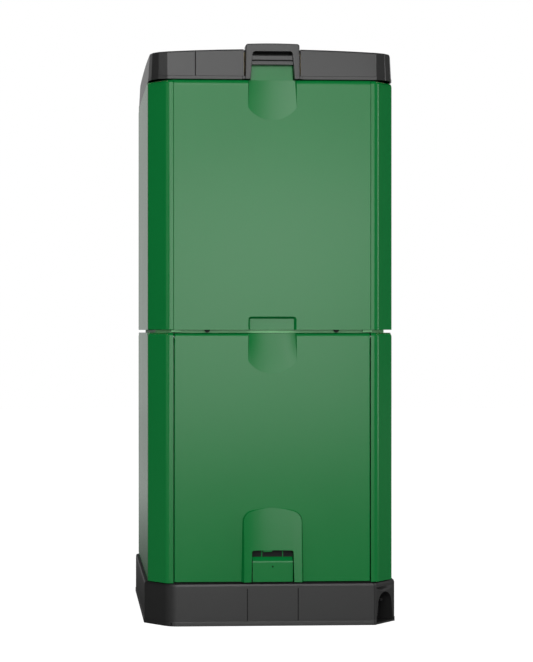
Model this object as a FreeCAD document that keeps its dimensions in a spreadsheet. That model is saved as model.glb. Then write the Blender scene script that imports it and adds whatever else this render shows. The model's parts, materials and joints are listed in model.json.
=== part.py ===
"""Insulated two-tier garden compost bin, in millimetres.

Origin at the middle of the underside, +Z up, the front with the door faces -Y and +X is to the right.
Every size in SIZES goes into the document's sheet. PLACES holds the levels and edges that follow from
them. The pieces are then bound to both, so a changed cell moves everything that depends on it.
"""
import FreeCAD
import Part

import os
import re

import Sketcher

# Driving sizes, in millimetres
SIZES = {
    # Insulated walls of both tiers
    "body_width": 507.0,
    "corner_cut": 38.0,
    "wall": 38.0,
    "skin": 2.2,
    "post_width": 50.5,
    "tier_height": 511.0,
    "panel_gap": 1.5,
    "reveal": 6.0,
    "tongue_depth": 9.0,
    "tongue_thick": 10.0,
    "tongue_fit": 0.2,
    # Neck ring between the tiers
    "ring_height": 6.0,
    "neck_inset": 16.0,
    "lug_offset": 133.0,
    "lug_radius": 5.5,
    "lug_reach": 9.0,
    "ear_inset": 6.0,
    "ear_width": 20.0,
    "ear_height": 4.0,
    # Base with the leachate tank
    "base_step": 6.5,
    "base_cut": 50.0,
    "base_height": 82.0,
    "base_skin": 3.5,
    "deck_thick": 6.0,
    "seat_rise": 5.0,
    "seat_inset": 6.0,
    "tank_floor": 14.0,
    "tank_ledge": 10.0,
    "tank_cut": 40.0,
    "tank_rim": 2.2,
    "groove_offset": 52.0,
    "groove_width": 2.0,
    "groove_depth": 1.5,
    "lip_height": 9.0,
    # Arched niche for the tap, in the front right corner
    "niche_width": 60.0,
    "niche_top_width": 48.0,
    "niche_height": 61.0,
    "niche_sill": 3.5,
    # Tap
    "tap_height": 30.0,
    "tap_radius": 9.0,
    "tap_bore": 5.0,
    "tap_reach": 36.0,
    "tap_barrel": 10.0,
    "tap_barrel_height": 28.0,
    "flange_radius": 14.0,
    "flange_thick": 4.0,
    "washer_thick": 2.0,
    "nut_thick": 8.0,
    "tap_tail": 4.0,
    "nut_radius": 15.0,
    "tap_fit": 0.2,
    "stem_radius": 4.0,
    "stem_depth": 12.0,
    "lever_hub": 9.0,
    "lever_length": 19.0,
    "lever_width": 8.0,
    "lever_thick": 6.0,
    # Drain grate over the tank
    "grate_thick": 5.0,
    "grate_cut": 17.0,
    "grate_fit": 0.5,
    "slot_width": 8.0,
    "slot_length": 150.0,
    "slot_pitch": 40.0,
    "slot_start": 22.0,
    # Aeration core
    "core_radius": 45.0,
    "core_wall": 2.5,
    "core_headroom": 35.0,
    "core_spigot": 20.0,
    "core_fit": 0.2,
    "foot_radius": 70.0,
    "foot_thick": 8.0,
    "cap_radius": 50.0,
    "cap_thick": 6.0,
    "vent_width": 6.0,
    "vent_height": 70.0,
    "vent_start": 45.0,
    "vent_end": 62.5,
    # Finger scoops, notch and latch keeper on the front
    "scoop_width": 99.0,
    "scoop_depth": 10.0,
    "scoop_height": 82.0,
    "scoop_arc": 25.0,
    "notch_height": 27.0,
    "notch_depth": 7.0,
    "keeper_width": 83.0,
    "keeper_height": 28.5,
    "keeper_thick": 6.0,
    # Lower front door
    "door_gap": 2.0,
    "door_top_gap": 1.0,
    "door_bottom_gap": 2.5,
    "door_plate": 15.0,
    "door_lap": 12.0,
    "stop_width": 10.0,
    "seal_thick": 1.7,
    "seal_width": 8.0,
    "rest_gap": 0.3,
    "hinge_pin_radius": 3.0,
    "running_fit": 0.05,
    "door_pin_inside": 14.0,
    "door_pin_outside": 10.0,
    "pin_end_gap": 1.0,
    "door_boss": 18.0,
    # Latch pad and sliding latch at the foot of the door
    "pad_width": 119.0,
    "pad_height": 150.0,
    "pad_arc": 21.0,
    "pad_proud": 6.0,
    "latch_width": 80.0,
    "latch_height": 50.0,
    "latch_slot": 14.0,
    "latch_gap": 1.0,
    "latch_depth": 7.0,
    "latch_back_gap": 0.6,
    "latch_front_inset": 1.5,
    "latch_hole": 1.8,
    "latch_hole_drop": 17.2,
    "rail_offset": 21.5,
    "rail_width": 3.0,
    "rail_height": 2.0,
    # Lid
    "lid_setback": 1.5,
    "lid_gap": 5.0,
    "lid_height": 66.5,
    "lid_skin": 3.0,
    "dome_radius": 6200.0,
    "liner_thick": 3.0,
    "liner_inset": 11.0,
    "lid_seal_width": 8.0,
    "lid_seal_inset": 23.0,
    "screw_inset": 62.0,
    "screw_radius": 2.0,
    "screw_length": 14.0,
    "screw_head": 4.5,
    "screw_head_thick": 2.4,
    "boss_radius": 6.0,
    # Lid hinge
    "hinge_offset": 150.0,
    "hinge_inset": 4.0,
    "hinge_rise": 9.0,
    "knuckle_radius": 6.0,
    "knuckle_width": 12.0,
    "hinge_lug": 30.0,
    "hinge_side_gap": 0.6,
    # Latch housing on the lid and its lever
    "housing_width": 113.0,
    "housing_rise": 2.5,
    "housing_proud": 6.0,
    "housing_wall": 3.0,
    "recess_top_width": 79.0,
    "recess_bottom_width": 92.0,
    "recess_height": 54.0,
    "recess_depth": 24.0,
    "lever_gap": 1.7,
    "lid_lever_height": 22.0,
    "lid_lever_thick": 9.0,
    "lid_lever_inset": 4.0,
    "lid_pin_radius": 2.5,
    "lid_pin_drop": 5.0,
    "lid_pin_seat": 8.0,
    "lever_groove": 1.5,
}

# Levels, edges and radii that follow from the driving sizes
PLACES = {
    "half": "body_width / 2",
    "post_edge": "half - post_width",
    "inner": "half - wall",
    "tongue_front": "half - (wall - tongue_thick) / 2",
    "tongue_back": "half - (wall + tongue_thick) / 2",
    "cavity": "post_edge - panel_gap - skin",
    "seat_z": "base_height + seat_rise",
    "lower_top": "seat_z + tier_height",
    "upper_z": "lower_top + ring_height",
    "upper_top": "upper_z + tier_height",
    "lid_z": "upper_top + lid_gap",
    "neck": "half - neck_inset",
    "ear_x": "post_edge - ear_inset",
    "root_two": "sqrt(2)",
    "mitre": "2 - root_two",
    "base_half": "half + base_step",
    "seat_half": "half - seat_inset",
    "grate_half": "inner - grate_fit",
    "tank_half": "grate_half - tank_ledge",
    "facet_d": "(2 * base_half - base_cut) / root_two",
    "tank_d": "(2 * tank_half - tank_cut) / root_two",
    "tank_out": "tank_half + base_skin",
    "tank_out_cut": "tank_cut + base_skin * mitre",
    "tank_out_d": "tank_d + base_skin",
    "deck_z": "base_height - deck_thick",
    "rim_z": "seat_z - grate_thick",
    "ledge_z": "rim_z - tank_rim",
    "lining_d": "tank_out_d + grate_fit",
    "niche_d": "lining_d + base_skin",
    "arch_radius": "niche_top_width / 2",
    "arch_z": "niche_sill + niche_height - arch_radius",
    "flange_d": "niche_d + washer_thick",
    "barrel_d": "niche_d + tap_reach",
    "barrel_top": "tap_height + tap_barrel_height / 2",
    "foot_top": "seat_z + foot_thick",
    "core_top": "upper_top - core_headroom",
    "core_mid": "(foot_top + core_top) / 2",
    "vent_pitch": "(core_mid - foot_top - vent_start - vent_end - vent_height) / 3",
    "core_bore": "core_radius - core_wall",
    "spigot": "core_bore - core_fit",
    "scoop_half": "scoop_width / 2",
    "scoop_circle": "(scoop_half ^ 2 + scoop_arc ^ 2) / (2 * scoop_arc)",
    "door_half": "post_edge - door_gap",
    "door_top": "lower_top - door_top_gap",
    "door_bottom": "seat_z + door_bottom_gap",
    "door_inside": "half - door_plate",
    "flange_back": "door_inside - skin",
    "block_half": "door_half - door_lap",
    "stop_front": "flange_back - seal_thick - rest_gap",
    "stop_edge": "post_edge - stop_width",
    "door_axis_y": "-(half - door_plate / 2)",
    "door_axis_z": "door_top - door_plate / 2",
    "pad_half": "pad_width / 2",
    "pad_circle": "(pad_half ^ 2 + pad_arc ^ 2) / (2 * pad_arc)",
    "pad_front": "half + pad_proud",
    "latch_half": "latch_width / 2",
    "latch_back": "half - latch_depth + latch_back_gap",
    "latch_top": "door_bottom + latch_height",
    "slot_top": "latch_top + latch_slot",
    "lid_half": "half - lid_setback",
    "crown_z": "lid_z + lid_height",
    "dome_z": "crown_z - dome_radius",
    "liner_half": "lid_half - liner_inset",
    "liner_top": "lid_z + liner_thick",
    "lid_seal_half": "lid_half - lid_seal_inset",
    "screw_at": "lid_half - screw_inset",
    "hinge_y": "half - hinge_inset",
    "hinge_z": "upper_top + hinge_rise",
    "lug_half": "hinge_lug / 2",
    "window_half": "lug_half + hinge_side_gap",
    "knuckle_end": "window_half + knuckle_width",
    "housing_half": "housing_width / 2",
    "housing_front": "lid_half + housing_proud",
    "housing_top": "crown_z + housing_rise",
    "recess_top": "lid_z + recess_height",
    "recess_back": "housing_front - recess_depth",
    "housing_back": "recess_back - housing_wall",
    "lever_top": "recess_top - lid_lever_inset - lever_gap",
    "lever_half": "recess_top_width / 2 - lever_gap",
    "lever_front": "housing_front - lid_lever_inset",
    "lid_pin_y": "-(lever_front - lid_lever_thick / 2)",
    "lid_pin_z": "lever_top - lid_pin_drop",
    "over": "1",
}

SIDES = {"front": 0, "right": 90, "rear": 180, "left": 270}
CORNERS = {"front_right": 0, "rear_right": 90, "rear_left": 180, "front_left": 270}
TIERS = {"lower": ("seat_z", "lower_top"), "upper": ("upper_z", "upper_top")}
DIAGONAL = -45

doc = FreeCAD.newDocument("CompostBin")
sheet = doc.addObject("Spreadsheet::Sheet", "Sizes")
for row, (alias, size) in enumerate(SIZES.items(), start=1):
    sheet.set(f"A{row}", alias)
    sheet.set(f"B{row}", str(size))
    sheet.setAlias(f"B{row}", alias)
doc.recompute()

pieces = {}


# Expressions

def expr(text):
    """Write a formula of SIZES and PLACES names as an expression on the sheet."""
    def swap(match):
        name = match.group(0)
        if name in PLACES:
            return "(" + expr(PLACES[name]) + ")"
        if name in SIZES:
            return "Sizes." + name
        return name
    return re.sub(r"[a-z][a-z_]*", swap, text)


def number(text):
    """The present value of a formula."""
    return float(sheet.evalExpression(expr(text)))


def span(pair):
    """The length of a (low, high) pair of formulas."""
    return f"({pair[1]}) - ({pair[0]})"


def bind(item, **formulas):
    """Bind properties of an object to formulas, with two underscores for a dot."""
    for prop, text in formulas.items():
        item.setExpression(prop.replace("__", "."), expr(text))
    return item


# Shapes

def box(label, x, y, z):
    """Block between (low, high) pairs of formulas."""
    item = doc.addObject("Part::Box", label)
    bind(item, Length=span(x), Width=span(y), Height=span(z))
    bind(item, Placement__Base__x=x[0], Placement__Base__y=y[0], Placement__Base__z=z[0])
    return item


def cylinder(label, axis, radius, along, centre):
    """Cylinder on an axis x, y or z; centre gives the two other coordinates in order."""
    item = doc.addObject("Part::Cylinder", label)
    turns = {
        "x": FreeCAD.Rotation(FreeCAD.Vector(0, 1, 0), 90),
        "y": FreeCAD.Rotation(FreeCAD.Vector(1, 0, 0), -90),
        "z": FreeCAD.Rotation(),
    }
    item.Placement = FreeCAD.Placement(FreeCAD.Vector(), turns[axis])
    others = [letter for letter in "xyz" if letter != axis]
    bind(item, Radius=radius, Height=span(along))
    bind(item, **{f"Placement__Base__{axis}": along[0]})
    for letter, text in zip(others, centre):
        bind(item, **{f"Placement__Base__{letter}": text})
    return item


def wedge(label, z, bottom, top):
    """Block whose width and depth change with height; bottom and top are (x pair, y pair)."""
    item = doc.addObject("Part::Wedge", label)
    item.Placement = FreeCAD.Placement(FreeCAD.Vector(), FreeCAD.Rotation(FreeCAD.Vector(1, 0, 0), 90))
    bind(item, Ymin=z[0], Ymax=z[1])
    bind(item, Xmin=bottom[0][0], Xmax=bottom[0][1], X2min=top[0][0], X2max=top[0][1])
    bind(item, Zmin=f"-({bottom[1][1]})", Zmax=f"-({bottom[1][0]})")
    bind(item, Z2min=f"-({top[1][1]})", Z2max=f"-({top[1][0]})")
    return item


def prism(label, corners, z):
    """Body padded upwards from an outline of (x, y) formulas."""
    body = doc.addObject("PartDesign::Body", label)
    sketch = body.newObject("Sketcher::SketchObject", label + "_outline")
    plane = next(item for item in body.Origin.OriginFeatures if item.Role == "XY_Plane")
    sketch.AttachmentSupport = (plane, "")
    sketch.MapMode = "FlatFace"
    bind(sketch, AttachmentOffset__Base__z=z[0])
    points = [FreeCAD.Vector(number(x), number(y), 0) for x, y in corners]
    count = len(points)
    for index in range(count):
        sketch.addGeometry(Part.LineSegment(points[index], points[(index + 1) % count]), False)
    for index in range(count):
        sketch.addConstraint(Sketcher.Constraint("Coincident", index, 2, (index + 1) % count, 1))
    for index, (x, y) in enumerate(corners):
        across = sketch.addConstraint(Sketcher.Constraint("DistanceX", index, 1, points[index].x))
        sketch.setExpression(f"Constraints[{across}]", expr(x))
        along = sketch.addConstraint(Sketcher.Constraint("DistanceY", index, 1, points[index].y))
        sketch.setExpression(f"Constraints[{along}]", expr(y))
    pad = body.newObject("PartDesign::Pad", label + "_pad")
    pad.Profile = sketch
    bind(pad, Length=span(z))
    return body


def octagon(label, half, cut, z):
    """Upright square block with cut corners."""
    flat = f"(({half}) - ({cut}))"
    corners = [
        (flat, f"-({half})"), (half, f"-{flat}"), (half, flat), (flat, half),
        (f"-{flat}", half), (f"-({half})", flat), (f"-({half})", f"-{flat}"), (f"-{flat}", f"-({half})"),
    ]
    return prism(label, corners, z)


# Combining shapes

def together(kind, label, items):
    item = doc.addObject(kind, label)
    item.Shapes = items
    return item


def fuse(label, items):
    return together("Part::MultiFuse", label, items)


def common(label, items):
    return together("Part::MultiCommon", label, items)


def group(label, items):
    """Separate solids kept in one object."""
    item = doc.addObject("Part::Compound", label)
    item.Links = items
    return item


def cut(label, base, tools):
    """Base without the tools."""
    item = doc.addObject("Part::Cut", label)
    item.Base = base
    item.Tool = tools[0] if len(tools) == 1 else fuse(label + "_tools", tools)
    return item


def turned(item, angle):
    """Turn an object about the upright middle axis."""
    item.Placement = FreeCAD.Placement(FreeCAD.Vector(), FreeCAD.Rotation(FreeCAD.Vector(0, 0, 1), angle))
    return item


def piece(label, item):
    """Name an object as one of the finished pieces."""
    item.Label = label
    pieces[label] = item
    return item


def both(low_high):
    """A width formula as a pair about the middle."""
    return (f"-({low_high})", low_high)


def face(depth_low, depth_high):
    """A (low, high) pair in Y from two distances of the front half, the outer one first."""
    return (f"-({depth_low})", f"-({depth_high})")


# Base

def make_base():
    """Skirt of the base, with the niche in one corner, and the deck on top of it."""
    block = octagon("base_block", "base_half", "base_cut", ("0", "deck_z"))
    under = octagon(
        "base_under", "base_half - base_skin", "base_cut - base_skin * mitre", ("-over", "deck_z + over"))
    walls = cut("base_walls", block, [under])
    lining = niche_form("niche_lining", "base_skin", ("lining_d", "facet_d"))
    space = niche_form("niche_space", "0", ("niche_d", "facet_d + over"))
    hole = tap_hole("base_tap_hole", ("lining_d - over", "niche_d + over"))
    skirt_cuts = [space, hole, base_grooves("skirt")]
    piece("base_tray", cut("base_tray", fuse("base_lined", [walls, lining]), skirt_cuts))

    plate = octagon("deck_plate", "base_half", "base_cut", ("deck_z", "base_height"))
    seat = octagon("base_seat", "seat_half", "corner_cut", ("base_height - over", "seat_z"))
    opening = octagon(
        "deck_opening", "tank_out + grate_fit", "tank_out_cut + grate_fit * mitre",
        ("deck_z - over", "seat_z + over"))
    rebate = octagon("grate_rebate", "inner", "grate_cut + grate_fit * mitre", ("ledge_z", "seat_z + over"))
    deck_cuts = [opening, rebate, base_grooves("deck")]
    piece("base_deck", cut("base_deck", fuse("deck_solid", [plate, seat]), deck_cuts))


def base_grooves(label):
    """Two upright grooves in the front of the base."""
    return group(label + "_grooves", [
        box(f"{label}_groove_{name}", (f"{at} - groove_width / 2", f"{at} + groove_width / 2"),
            ("-base_half - over", "-base_half + groove_depth"), ("lip_height", "base_height + over"))
        for name, at in (("left", "-groove_offset"), ("right", "groove_offset"))
    ])


def niche_form(label, margin, reach):
    """Arched form along the front right diagonal, wider than the niche by a margin."""
    lower = wedge(
        label + "_block", (f"niche_sill - {margin}", "arch_z"),
        (reach, both(f"niche_width / 2 + {margin}")), (reach, both(f"arch_radius + {margin}")))
    arch = cylinder(label + "_arch", "x", f"arch_radius + {margin}", reach, ("0", "arch_z"))
    return turned(fuse(label, [lower, arch]), DIAGONAL)


def tap_hole(label, reach):
    """Hole for the tap's tube along the front right diagonal."""
    way = cylinder(label + "_round", "x", "tap_radius + tap_fit", reach, ("0", "tap_height"))
    return turned(group(label, [way]), DIAGONAL)


def make_tank():
    """Tub for the leachate, hung by its rim from the base's deck, and its welded floor."""
    tub = octagon("tank_tub", "tank_out", "tank_out_cut", ("tank_floor", "rim_z"))
    rim = octagon("tank_rim_plate", "grate_half", "grate_cut", ("ledge_z", "rim_z"))
    space = octagon("tank_space", "tank_half", "tank_cut", ("tank_floor - over", "rim_z + over"))
    hole = tap_hole("tank_tap_hole", ("tank_d - over", "tank_out_d + over"))
    piece("leachate_tank", cut("leachate_tank", fuse("tank_solid", [tub, rim]), [space, hole]))
    piece("tank_floor", octagon(
        "tank_floor", "tank_out", "tank_out_cut", ("tank_floor - base_skin", "tank_floor")))


def make_grate():
    plate = octagon("grate_plate", "grate_half", "grate_cut", ("seat_z - grate_thick", "seat_z"))
    slots = []
    for column in range(-4, 5):
        for name, start in (("near", "-slot_start - slot_length"), ("far", "slot_start")):
            middle = f"{column} * slot_pitch"
            slots.append(box(
                f"grate_slot_{name}_{column + 4}",
                (f"{middle} - slot_width / 2", f"{middle} + slot_width / 2"),
                (start, f"{start} + slot_length"), ("seat_z - grate_thick - over", "seat_z + over")))
    piece("drain_grate", cut("drain_grate", plate, [group("grate_slots", slots)]))


# Tap

def make_tap():
    level = ("0", "tap_height")
    tube = cylinder("tap_tube", "x", "tap_radius", ("tank_d - nut_thick - tap_tail", "barrel_d"), level)
    flange = cylinder("tap_flange", "x", "flange_radius", ("flange_d", "flange_d + flange_thick"), level)
    barrel_z = ("tap_height - tap_barrel_height / 2", "barrel_top")
    barrel = cylinder("tap_barrel_body", "z", "tap_barrel", barrel_z, ("barrel_d", "0"))
    bore = cylinder("tap_way", "x", "tap_bore", ("tank_d - nut_thick - tap_tail - over", "barrel_d"), level)
    outlet = cylinder(
        "tap_outlet", "z", "tap_bore", ("tap_height - tap_barrel_height / 2 - over", "tap_height"),
        ("barrel_d", "0"))
    socket = cylinder(
        "tap_socket", "z", "stem_radius + running_fit", ("barrel_top - stem_depth", "barrel_top + over"),
        ("barrel_d", "0"))
    body = fuse("tap_solid", [tube, flange, barrel])
    piece("tap_body", turned(cut("tap_body", body, [bore, outlet, socket]), DIAGONAL))

    stem = cylinder(
        "lever_stem", "z", "stem_radius",
        ("barrel_top - stem_depth + rest_gap", "barrel_top + lever_thick"), ("barrel_d", "0"))
    lever_z = ("barrel_top + rest_gap", "barrel_top + lever_thick")
    hub = cylinder("lever_hub", "z", "lever_hub", lever_z, ("barrel_d", "0"))
    handle = box("lever_handle", ("barrel_d", "barrel_d + lever_length"), both("lever_width / 2"), lever_z)
    piece("tap_lever", turned(fuse("tap_lever", [stem, hub, handle]), DIAGONAL))

    washer = cylinder("washer_disc", "x", "flange_radius", ("niche_d", "flange_d"), level)
    washer_hole = cylinder("washer_hole", "x", "tap_radius", ("niche_d - over", "flange_d + over"), level)
    piece("tap_washer", turned(cut("tap_washer", washer, [washer_hole]), DIAGONAL))

    nut_d = ("tank_d - nut_thick", "tank_d")
    nut = cylinder("nut_disc", "x", "nut_radius", nut_d, level)
    nut_hole = cylinder(
        "nut_hole", "x", "tap_radius", ("tank_d - nut_thick - over", "tank_d + over"), level)
    piece("tap_nut", turned(cut("tap_nut", nut, [nut_hole]), DIAGONAL))


# Aeration core

def core_slots(label, start):
    """Upright air slots through a core tube, in eight columns."""
    columns = []
    for column in range(4):
        rows = []
        for step in range(4):
            low = f"{start} + vent_start + {step} * vent_pitch"
            rows.append(box(
                f"{label}_slot_{column}_{step}", both("core_radius + over"), both("vent_width / 2"),
                (low, f"{low} + vent_height")))
        columns.append(turned(group(f"{label}_column_{column}", rows), 45 * column))
    return fuse(label + "_slots", columns)


def make_core():
    middle = ("0", "0")
    plate = cylinder("foot_plate", "z", "foot_radius", ("seat_z", "foot_top"), middle)
    spigot = cylinder("foot_spigot", "z", "spigot", ("seat_z", "foot_top + core_spigot"), middle)
    drain = cylinder(
        "foot_drain", "z", "spigot - core_wall", ("seat_z - over", "foot_top + core_spigot + over"), middle)
    piece("core_foot", cut("core_foot", fuse("foot_solid", [plate, spigot]), [drain]))

    lower = cylinder("core_lower_tube", "z", "core_radius", ("foot_top", "core_mid"), middle)
    bore = cylinder("core_lower_bore", "z", "core_bore", ("foot_top - over", "core_mid + over"), middle)
    piece("core_lower", cut("core_lower", lower, [bore, core_slots("core_lower", "foot_top")]))

    upper = cylinder("core_upper_tube", "z", "core_radius", ("core_mid", "core_top"), middle)
    joint = cylinder(
        "core_upper_spigot", "z", "spigot", ("core_mid - core_spigot", "core_mid + over"), middle)
    upper_bore = cylinder(
        "core_upper_bore", "z", "core_bore", ("core_mid + core_wall", "core_top + over"), middle)
    joint_bore = cylinder(
        "core_joint_bore", "z", "spigot - core_wall",
        ("core_mid - core_spigot - over", "core_mid + core_wall + over"), middle)
    solid = fuse("core_upper_solid", [upper, joint])
    slots = core_slots("core_upper", "core_mid")
    piece("core_upper", cut("core_upper", solid, [upper_bore, joint_bore, slots]))

    disc = cylinder("cap_disc", "z", "cap_radius", ("core_top", "core_top + cap_thick"), middle)
    plug = cylinder("cap_plug", "z", "spigot", ("core_top - core_spigot", "core_top + over"), middle)
    hollow = cylinder(
        "cap_hollow", "z", "spigot - core_wall", ("core_top - core_spigot - over", "core_top"), middle)
    piece("core_cap", cut("core_cap", fuse("cap_solid", [disc, plug]), [hollow]))


# Corner posts

def diagonal_pair(x, y):
    """The same x and y pairs seen across the corner's diagonal."""
    return (f"-({y[1]})", f"-({y[0]})"), (f"-({x[1]})", f"-({x[0]})")


def make_post(tier, corner, angle):
    z = TIERS[tier]
    label = f"{tier}_post_{corner}"
    flat = "(half - corner_cut)"
    outline = [
        ("post_edge", "-half"), (flat, "-half"), ("half", f"-{flat}"),
        ("half", "-post_edge"), ("inner", "-post_edge"), ("post_edge", "-inner"),
    ]
    body = prism(label + "_form", outline, z)
    core = ("post_edge + tongue_depth + tongue_fit + skin", "post_edge + skin + tongue_depth + tongue_fit")
    reach = "(body_width - corner_cut - skin * root_two)"
    foam_outline = [
        (core[0], f"-({reach} - ({core[1]}))"), (f"{reach} - ({core[1]})", f"-({core[1]})"),
        (core[0], f"-({core[1]})"),
    ]
    foam = prism(label + "_core", foam_outline, (z[0], f"{z[1]} - skin"))
    space = prism(label + "_space", foam_outline, (f"{z[0]} - over", f"{z[1]} - skin"))
    adds = [body]
    cuts = [space]
    all_z = (f"{z[0]} - over", f"{z[1]} + over")
    groove = (
        ("post_edge - over", "post_edge + tongue_depth + tongue_fit"),
        ("-tongue_front - tongue_fit", "-tongue_back + tongue_fit"))
    at_door = tier == "lower" and corner.startswith("front")
    for name, pairs in (("a", groove), ("b", diagonal_pair(*groove))):
        door_face = "a" if corner == "front_right" else "b"
        if at_door and name == door_face:
            stop = (("stop_edge", "post_edge + over"), ("-stop_front", "-inner"))
            pin = (("post_edge - over", "post_edge + door_pin_outside"), "door_axis_y")
            if name == "b":
                stop = diagonal_pair(*stop)
            adds.append(box(f"{label}_stop", *stop, (z[0], "door_top - door_boss")))
            cuts.append(post_pin_hole(label, name, pin))
        else:
            cuts.append(box(f"{label}_groove_{name}", *pairs, all_z))
    shell = cut(label, fuse(label + "_solid", adds) if len(adds) > 1 else body, cuts)
    piece(label, turned(shell, angle))
    return turned(foam, angle)


def post_pin_hole(label, name, pin):
    """Hole for the door's hinge pin, on either face of the corner."""
    along, depth = pin
    if name == "a":
        return cylinder(label + "_pin_hole", "x", "hinge_pin_radius", along, (depth, "door_axis_z"))
    return cylinder(
        label + "_pin_hole", "y", "hinge_pin_radius", (f"-({along[1]})", f"-({along[0]})"),
        (f"-({depth})", "door_axis_z"))


# Insulated panels

def scoop_form(label, top):
    """Finger scoop that starts deep at a top level and fades out at its round foot."""
    foot = f"{top} - scoop_height"
    block = box(label + "_block", both("scoop_half"), face("half + over", "inner"), (foot, f"{top} + over"))
    arc = cylinder(
        label + "_arc", "y", "scoop_circle", face("half + over", "inner"), ("0", f"{foot} + scoop_circle"))
    wide = box(
        label + "_wide", both("scoop_half"), face("half + over", "inner"),
        (f"{foot} + scoop_arc", f"{top} + over"))
    outline = common(label + "_outline", [block, fuse(label + "_round", [arc, wide])])
    slope = wedge(
        label + "_slope", (foot, top), (both("scoop_half + over"), face("half + over", "half")),
        (both("scoop_half + over"), face("half + over", "half - scoop_depth")))
    return common(label, [outline, slope])


def scoop_boss(label, top):
    """Backing behind a scoop, as thick as the skin."""
    return box(
        label, both("scoop_half + skin"), face("half", "half - scoop_depth - skin"),
        (f"{top} - scoop_height - skin", top))


def make_panel(tier, side, angle):
    z = TIERS[tier]
    label = f"{tier}_panel_{side}"
    adds = [
        box(label + "_face", both("post_edge - panel_gap"), face("half", "inner"), z),
        box(label + "_body", both("post_edge"), face("half - reveal", "inner"), z),
        box(label + "_tongue", both("post_edge + tongue_depth"), face("tongue_front", "tongue_back"), z),
    ]
    inside = (f"{z[0]} + skin", f"{z[1]} - skin")
    space = box(label + "_space", both("cavity"), face("half - skin", "inner - over"), inside)
    foam = box(label + "_foam_block", both("cavity"), face("half - skin", "inner + skin"), inside)
    liner = box(label + "_liner_plate", both("cavity"), face("inner + skin", "inner"), inside)
    cuts = []
    if (tier, side) == ("upper", "front"):
        bosses = [
            scoop_boss(label + "_scoop_boss", "upper_top"),
            box(label + "_notch_boss", both("scoop_half + skin"), face("half", "half - notch_depth - skin"),
                ("upper_z", "upper_z + notch_height + skin")),
        ]
        space = cut(label + "_space_cut", space, bosses)
        foam = cut(label + "_foam_cut", foam, bosses)
        cuts.append(scoop_form(label + "_scoop", "upper_top"))
        cuts.append(box(label + "_notch", both("scoop_half"), face("half + over", "half - notch_depth"),
                        ("upper_z - over", "upper_z + notch_height")))
        adds.append(box(
            label + "_keeper", both("keeper_width / 2"),
            face("half - scoop_depth", "half - scoop_depth - keeper_thick"),
            ("upper_top - skin", "upper_top + keeper_height")))
    if (tier, side) == ("upper", "rear"):
        for name, at in (("left", "-hinge_offset"), ("right", "hinge_offset")):
            width = (f"{at} - lug_half", f"{at} + lug_half")
            adds.append(box(f"{label}_lug_{name}", width, face("half", "hinge_y - knuckle_radius"),
                            ("upper_top - skin", "hinge_z")))
            adds.append(cylinder(
                f"{label}_eye_{name}", "x", "knuckle_radius", width, ("-hinge_y", "hinge_z")))
            cuts.append(cylinder(
                f"{label}_eye_hole_{name}", "x", "hinge_pin_radius",
                (f"{width[0]} - over", f"{width[1]} + over"), ("-hinge_y", "hinge_z")))
    shell = cut(label, fuse(label + "_solid", adds), [space] + cuts)
    piece(label, turned(shell, angle))
    for kind, block in (("foam", foam), ("liner", liner)):
        name = f"{tier}_{kind}_{side}"
        piece(name, turned(group(name, [block]), angle))


# Ring between the tiers

def make_ring():
    z = ("lower_top", "upper_z")
    outer = octagon("ring_outer", "neck", "corner_cut - neck_inset * mitre", z)
    opening = box("ring_opening", both("inner"), both("inner"), ("lower_top - over", "upper_z + over"))
    extras = []
    for name, sign in (("left", "-"), ("right", "")):
        lug = cylinder(
            f"ring_lug_round_{name}", "y", "lug_radius", face("neck + lug_reach", "neck - over"),
            (f"{sign}lug_offset", "upper_z"))
        below = box(
            f"ring_lug_below_{name}",
            (f"{sign}lug_offset - lug_radius - over", f"{sign}lug_offset + lug_radius + over"),
            face("neck + lug_reach", "neck - over"), z)
        extras.append(common(f"ring_lug_{name}", [lug, below]))
        extras.append(box(
            f"ring_ear_{name}", (f"{sign}ear_x - ear_width / 2", f"{sign}ear_x + ear_width / 2"),
            face("neck + lug_reach", "neck - over"), ("upper_z - ear_height", "upper_z")))
    ring = cut("ring_body", outer, [opening])
    piece("tier_ring", fuse("tier_ring", [ring] + extras))


# Door in the front of the lower tier

def pad_form():
    """Arched pad that starts flush at its top and stands proud at the foot of the door."""
    top = "door_bottom + pad_height"
    depth = face("pad_front + over", "half - over")
    block = box("pad_block", both("pad_half"), depth, ("door_bottom", top))
    arc = cylinder("pad_arch", "y", "pad_circle", depth, ("0", f"{top} - pad_circle"))
    wide = box("pad_wide", both("pad_half"), depth, ("door_bottom", f"{top} - pad_arc"))
    outline = common("pad_outline", [block, fuse("pad_round", [arc, wide])])
    slope = wedge(
        "pad_slope", ("door_bottom", top), (both("pad_half + over"), face("pad_front", "half - over")),
        (both("pad_half + over"), face("half", "half - over")))
    return common("pad", [outline, slope])


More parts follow.
